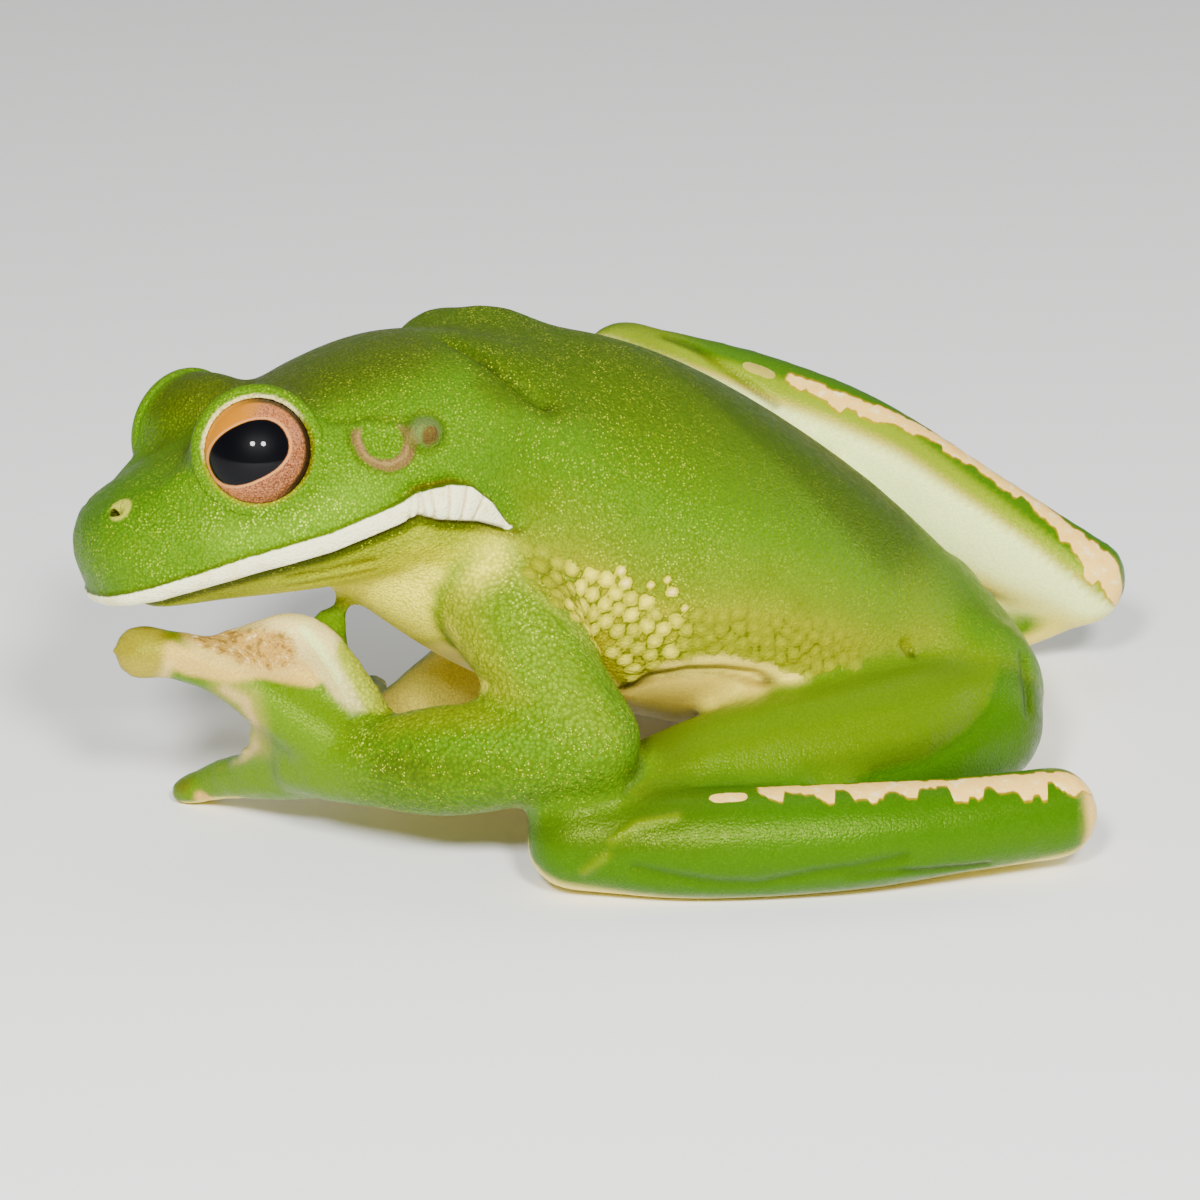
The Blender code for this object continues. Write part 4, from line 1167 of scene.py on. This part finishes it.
def draw_granules(colour, speck):
    """Pale domes in an olive and yellow net."""
    inside = read("granule")
    tint = read("granule_tint") + speck * 0.2 - 0.1
    top = coated(DOME_OLIVE, (DOME_YELLOW, tint.ramp(0.1, 0.8)), (DOME_CREAM, tint.ramp(0.8, 1.1)))
    side = blend(SIDE_OLIVE, SIDE_YELLOW, tint.ramp(0.1, 0.8))
    net = blend(NET_DARK, NET_LIGHT, speck.ramp(0.35, 0.65))
    dome = blend(side, top, inside.ramp(0.16, 0.62))
    dome = blend(net, dome, inside.ramp(0.02, 0.17))
    return blend(colour, dome, inside.ramp(-0.12, 0.02) * read("granule_share"))


def draw_stripe(colour, place):
    """The pink stripe along each shank, with a ragged edge of squarish teeth and one loose patch."""
    run, down, width, teeth = read("leg_run"), read("leg_down"), read("stripe_width"), read("teeth")
    line = beside(run)
    wave = noise(line, 0.3, 0.4).ramp(0.46, 0.54, -0.6, 0.95)
    wave = wave + noise(line, 0.6, 0.5).ramp(0.44, 0.56, -0.25, 0.3)
    ragged = (noise(place, 1.1, 2.0) - 0.5) * 0.5
    top = down + ragged * 0.6 - noise(line, 0.5, 1.0).ramp(0.45, 0.6, 0.0, 0.4)
    under = width * run.ramp(17.4, 21.5, 0.45, 1.0) + wave * teeth + ragged - down
    band = top.ramp(-0.1, 0.12) * under.ramp(-0.12, 0.12) * (run + ragged).ramp(17.5, 18.0)
    across, rise = (run - 14.6) / 1.9, (down - width + 0.5) / 0.68
    patch = (across.power(4.0) + rise.power(2.0) + ragged * 1.4).ramp(1.15, 0.85)
    patch = patch * teeth.ramp(0.4, 1.0, 0.35, 1.0)
    mottle = noise(place, 0.9, 3.0)
    tone = coated(
        STRIPE_PINK,
        (STRIPE_ORANGE, mottle.ramp(0.5, 0.75, 0.0, 0.6)),
        (STRIPE_CREAM, mottle.ramp(0.45, 0.3, 0.0, 0.7)),
    )
    rim = top.ramp(-0.5, -0.1) * under.ramp(-0.45, -0.1) * (run + ragged).ramp(17.3, 18.0)
    return coated(colour, (STRIPE_RIM, rim * 0.55), (tone, band.most(patch)))


def draw_mouth(colour, place):
    """The thick white lip with painted shade in its creases by the corner, and the gape's thin dark line, a
    painted shadow under the lip.
    """
    crease = read("pleat") + noise(place, 1.2) * 0.2
    tone = coated(
        WHITE_LIP,
        (LIP_CREAM, noise(place, 0.7, 3.0).ramp(0.5, 0.75, 0.0, 0.55)),
        # The lip's creases: darker tan, painted shade.
        (LIP_CREASE_SHADE, crease.ramp(0.34, 0.1, 0.0, 0.6)),
    )
    lip = read("lip") + (noise(place, 1.5) - 0.5) * 0.22
    from_gape = (read("gape") + 0.14).size()
    return coated(
        colour,
        (OLIVE, lip.ramp(-0.6, -0.1, 0.0, 0.6)),
        (tone, lip.ramp(-0.08, 0.1)),
        # The gape's dark line: a painted shadow under the lip.
        (GAPE_SHADOW, from_gape.ramp(0.34, 0.06, 0.0, 0.95)),
    )


def draw_face(colour, place):
    """The ear drum's ring, the wart behind it with a painted shadow round it, and the nostrils with painted
    shade inside them.
    """
    across, rise = read("drum_across"), read("drum_up")
    mottle = noise(place, 1.3, 3.0)
    ragged = (mottle - 0.5) * 0.5
    from_drum = (across.power(2.0) + rise.power(2.0)).math("SQRT") + (mottle - 0.5) * 0.4
    open_above = (rise * 0.97 + across * 0.22).ramp(1.5, 0.6)
    half = 0.42 + (across * 0.6 - rise * 0.5).ramp(-1.0, 2.5, 0.0, 0.22)
    ring = ((from_drum - DRUM_RADIUS).size() - half).ramp(0.2, -0.12)
    wart = read("wart") + ragged
    return coated(
        colour,
        (DEEP, (from_drum - 3.1).size().ramp(0.45, 0.1) * open_above * 0.6),
        (DRUM_BROWN, ring * open_above * mottle.ramp(0.2, 0.6, 0.8, 1.0)),
        (DRUM_PINK, (from_drum - 2.3).size().ramp(0.3, 0.05) * open_above * 0.45),
        # A painted shadow in the sunken ring round the wart.
        (DEEP, (wart - 2.0).size().ramp(0.6, 0.2) * 0.5),
        (WART_GREEN, wart.ramp(1.9, 1.1, 0.0, 0.9)),
        (WART_BROWN, (read("wart_tip") + ragged).ramp(1.1, 0.6, 0.0, 0.95)),
        (NOSTRIL_RIM, read("nostril_rim").ramp(1.5, 1.1, 0.0, 0.9)),
        # The nostril's opening: near black, painted shade.
        (NOSTRIL_SHADE, read("nostril").ramp(0.55, 0.36)),
    )


def draw_ground(place, pebbles, fine_cells, speck):
    """The painted tones under the skin's fine grain, with painted light and shade on each pebble, painted
    glints, and painted highlights on wet patches.
    """
    pebbled, glitter = read("pebbled"), read("glitter")
    colour = coated(
        read("tone", "Color"),
        (OLIVE, noise(place, 0.1, 3.0).ramp(0.52, 0.8, 0.0, 0.35) * pebbled),
        # Lime specks, partly the skin's own tone and partly painted glints.
        (LIME, speck.ramp(0.5, 0.72, 0.0, 0.3) * glitter),
    )
    # Painted light and shade on each pebble: lighter on its top, darker in the valleys between, most where
    # glints are painted.
    lit = pebbles.ramp(0.15, 0.7, 1.12, 0.72) * glitter + (1 - glitter) * pebbles.ramp(0.2, 0.7, 1.03, 0.94)
    own = cells(place, WIDE_PEBBLES, 1).math("FRACT")
    # Painted highlights: small bright glints on the pebbles' tops.
    glint_spots = fine_cells.ramp(0.34, 0.14) * own.ramp(0.3, 0.7) * noise(place, 0.35, 2.0).ramp(0.36, 0.56)
    # Painted highlights of wet skin, in patches along the wet paths.
    wet_highlight = read("wet") * noise(place, 0.3, 3.0).ramp(0.4, 0.6)
    wet_highlight = wet_highlight * noise(place, 1.5, 2.0).ramp(0.38, 0.58, 0.25, 1.0)
    return coated(
        shaded(colour, lit),
        (PAINTED_GLINT, glint_spots * glitter * 0.65),
        (PAINTED_WET_SHEEN, wet_highlight * pebbles.ramp(0.42, 0.12, 0.0, 0.75)),
    )


def skin_material():
    """Moist frog skin with its markings."""
    constants = {"Subsurface Weight": 0.06, "Subsurface Radius": (0.5, 0.6, 0.1), "Subsurface Scale": 0.0012,
                 "Coat Weight": 0.0, "IOR": 1.36, "Specular Tint": (0.85, 1.0, 0.14, 1.0)}
    material, shader = new_material("frog_skin", constants)
    place = millimetres()
    fine_cells, wide_cells = (cells(place, scale) for scale in (FINE_PEBBLES, WIDE_PEBBLES))
    pebbles = fine_cells + (wide_cells - fine_cells) * read("coarse")
    speck = noise(place, 1.1, 3.0, 0.6)
    colour = draw_ground(place, pebbles, fine_cells, speck)
    colour = draw_granules(colour, speck)
    colour = draw_stripe(colour, place)
    colour = draw_mouth(colour, place)
    colour = draw_face(colour, place)
    palm = read("palm")
    wrinkles = noise(place, 0.9, 5.0, 0.66)
    colour = coated(
        colour,
        (PALM_BROWN, palm * wrinkles.ramp(0.5, 0.62, 0.0, 0.85)),
        (PALM_PALE, palm * wrinkles.ramp(0.45, 0.34, 0.0, 0.8)),
    )
    normal = height_bump(noise(place, 7.0, 2.0), 0.00005, 0.5)
    normal = height_bump(pebbles.power(2.0) * read("pebbled") * -1.0, 0.00018, 0.7, normal)
    normal = height_bump(wrinkles * palm, 0.0008, 0.9, normal)
    rough = speck.ramp(0.3, 0.7, 0.42, 0.26) + read("glitter") * 0.2 + read("lip").ramp(0.0, 0.2, 0.0, 0.12)
    feed(shader, Base_Color=colour, Roughness=rough, Normal=normal)
    return material


def iris_material():
    """A gold and orange iris with the lids' painted shadow at its back edge, a level black pupil, and the wet
    clear surface over both.
    """
    constants = {"Roughness": 0.45, "Coat Weight": 0.5, "Coat Roughness": 0.02, "Coat IOR": 1.3, "IOR": 1.2,
                 "Specular IOR Level": 0.2}
    material, shader = new_material("frog_eye", constants)
    u, v = read("eye_across"), read("eye_up")
    radius = (u.power(2.0) + v.power(2.0)).math("SQRT")
    fibres = noise(millimetres(), 5.0, 4.0, 0.75)
    low = (u * -0.5 - v).ramp(0.5, 4.0, 0.0, 0.55)
    off = u - PUPIL_AHEAD
    ahead, above = off * PUPIL_TURN[0] + v * PUPIL_TURN[1], v * PUPIL_TURN[0] - off * PUPIL_TURN[1]
    ahead, above = (ahead / PUPIL_HALF[0]).size(), (above / PUPIL_HALF[1]).size()
    pupil = (ahead.power(PUPIL_SQUARE) + above.power(PUPIL_SQUARE)).power(1 / PUPIL_SQUARE)
    colour = coated(
        IRIS_PINK,
        (IRIS_SPECK, fibres.ramp(0.44, 0.62)),
        (IRIS_SHADE, low * fibres.ramp(0.38, 0.52)),
        (IRIS_GOLD, (v + u * 0.8).ramp(1.6, 3.6, 0.0, 0.97)),
        # A painted shadow of the lid at the iris's back edge.
        (LID_SHADOW, radius.ramp(4.45, 4.8, 0.0, 0.95) * u.ramp(1.5, -2.5)),
        (IRIS_RIM, (pupil - 1.06).size().ramp(0.05, 0.02, 0.0, 0.8)),
        (PUPIL_BLACK, pupil.ramp(1.03, 0.99)),
    )
    feed(shader, Base_Color=colour)
    return material


def to_scene(mesh, name, material):
    """Moves a mesh from the CAD's millimetres to metres and puts it in the scene, riding the frog."""
    set_points(mesh, (points_of(mesh) + np.array(SHIFT)) / TO_MM)
    mesh.name = name
    mesh.materials.clear()
    mesh.materials.append(material)
    mesh.polygons.foreach_set("use_smooth", [True] * len(mesh.polygons))
    piece = placed(name, mesh)
    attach(piece, "root")
    return piece


def make_eye(sign, name, material):
    centre, axis = eye_frame(sign)
    bm = bmesh.new()
    bmesh.ops.create_uvsphere(bm, u_segments=96, v_segments=64, radius=EYE_RADIUS)
    bmesh.ops.transform(bm, matrix=facing(centre, axis), verts=bm.verts)
    mesh = mesh_of(bm, name)
    _, front, ahead, up = eye_parts(points_of(mesh), sign)
    mark(mesh, eye_across=np.where(front > 0, ahead, 9.0), eye_up=up)
    eye = to_scene(mesh, name + "_ball", material)
    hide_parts(name)


# The frog.

skin_piece = to_scene(make_skin(), "skin", skin_material())
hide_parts(*FLESH)
eye_look = iris_material()
make_eye(1, "eye_left", eye_look)
make_eye(-1, "eye_right", eye_look)


# The studio, in metres.

FLOOR_WHITE = (0.94, 0.94, 0.93, 1.0)
# Each light: its name, its place, what it points at, its power in watts and its width.
LIGHTS = (
    ("key_left", (-0.19, -0.51, 0.40), (-0.01, 0, 0.025), 5.4, 0.1),
    ("key_right", (0.04, -0.54, 0.40), (-0.01, 0, 0.025), 5.4, 0.1),
    ("fill", (0.7, 0.05, 0.3), (0, 0, 0.02), 2.0, 0.5),
    ("top", (0.0, 0.3, 0.7), (0, 0, 0.02), 1.3, 0.6),
)
WORLD_STRENGTH = 0.25
# The camera looks at this point, in the CAD's millimetres, from this far off, with this lens in millimetres.
LOOK_AT = Vector((0, 0, 20))
VIEW_AZIMUTH, VIEW_ELEVATION, VIEW_DISTANCE = math.radians(-8), math.radians(20), 0.45
LENS, SENSOR = 129.6, 36


def make_floor():
    bm = bmesh.new()
    bmesh.ops.create_grid(bm, x_segments=1, y_segments=1, size=6.0)
    mesh = mesh_of(bm, "floor")
    mesh.materials.append(new_material("floor", {"Base Color": FLOOR_WHITE, "Roughness": 0.7})[0])
    placed("floor", mesh)


def make_light(name, place, aim, power, size):
    data = bpy.data.lights.new(name, "AREA")
    data.shape = "DISK"
    data.energy, data.size = power, size
    lamp = placed(name, data)
    lamp.location = place
    lamp.rotation_mode = "QUATERNION"
    lamp.rotation_quaternion = (Vector(aim) - Vector(place)).to_track_quat("-Z", "Y")


def make_camera():
    """The photo's view: from the frog's left, a little in front of square, and 20 degrees above the floor."""
    level = math.cos(VIEW_ELEVATION)
    back = Vector((math.sin(VIEW_AZIMUTH) * level, -math.cos(VIEW_AZIMUTH) * level, math.sin(VIEW_ELEVATION)))
    right = Vector((math.cos(VIEW_AZIMUTH), math.sin(VIEW_AZIMUTH), 0))
    data = bpy.data.cameras.new("camera")
    data.lens, data.sensor_width = LENS, SENSOR
    data.clip_start, data.clip_end = 0.01, 20
    camera = placed("camera", data)
    camera.location = (LOOK_AT + SHIFT) / TO_MM + back * VIEW_DISTANCE
    camera.rotation_mode = "QUATERNION"
    camera.rotation_quaternion = Matrix((right, back.cross(right), back)).transposed().to_quaternion()
    bpy.context.scene.camera = camera


def make_world():
    world = bpy.data.worlds.new("studio")
    bpy.context.scene.world = world
    world.use_nodes = True
    background = world.node_tree.nodes["Background"]
    background.inputs["Color"].default_value = (1, 1, 1, 1)
    background.inputs["Strength"].default_value = WORLD_STRENGTH


make_floor()
make_camera()
for light in LIGHTS:
    make_light(*light)
make_world()
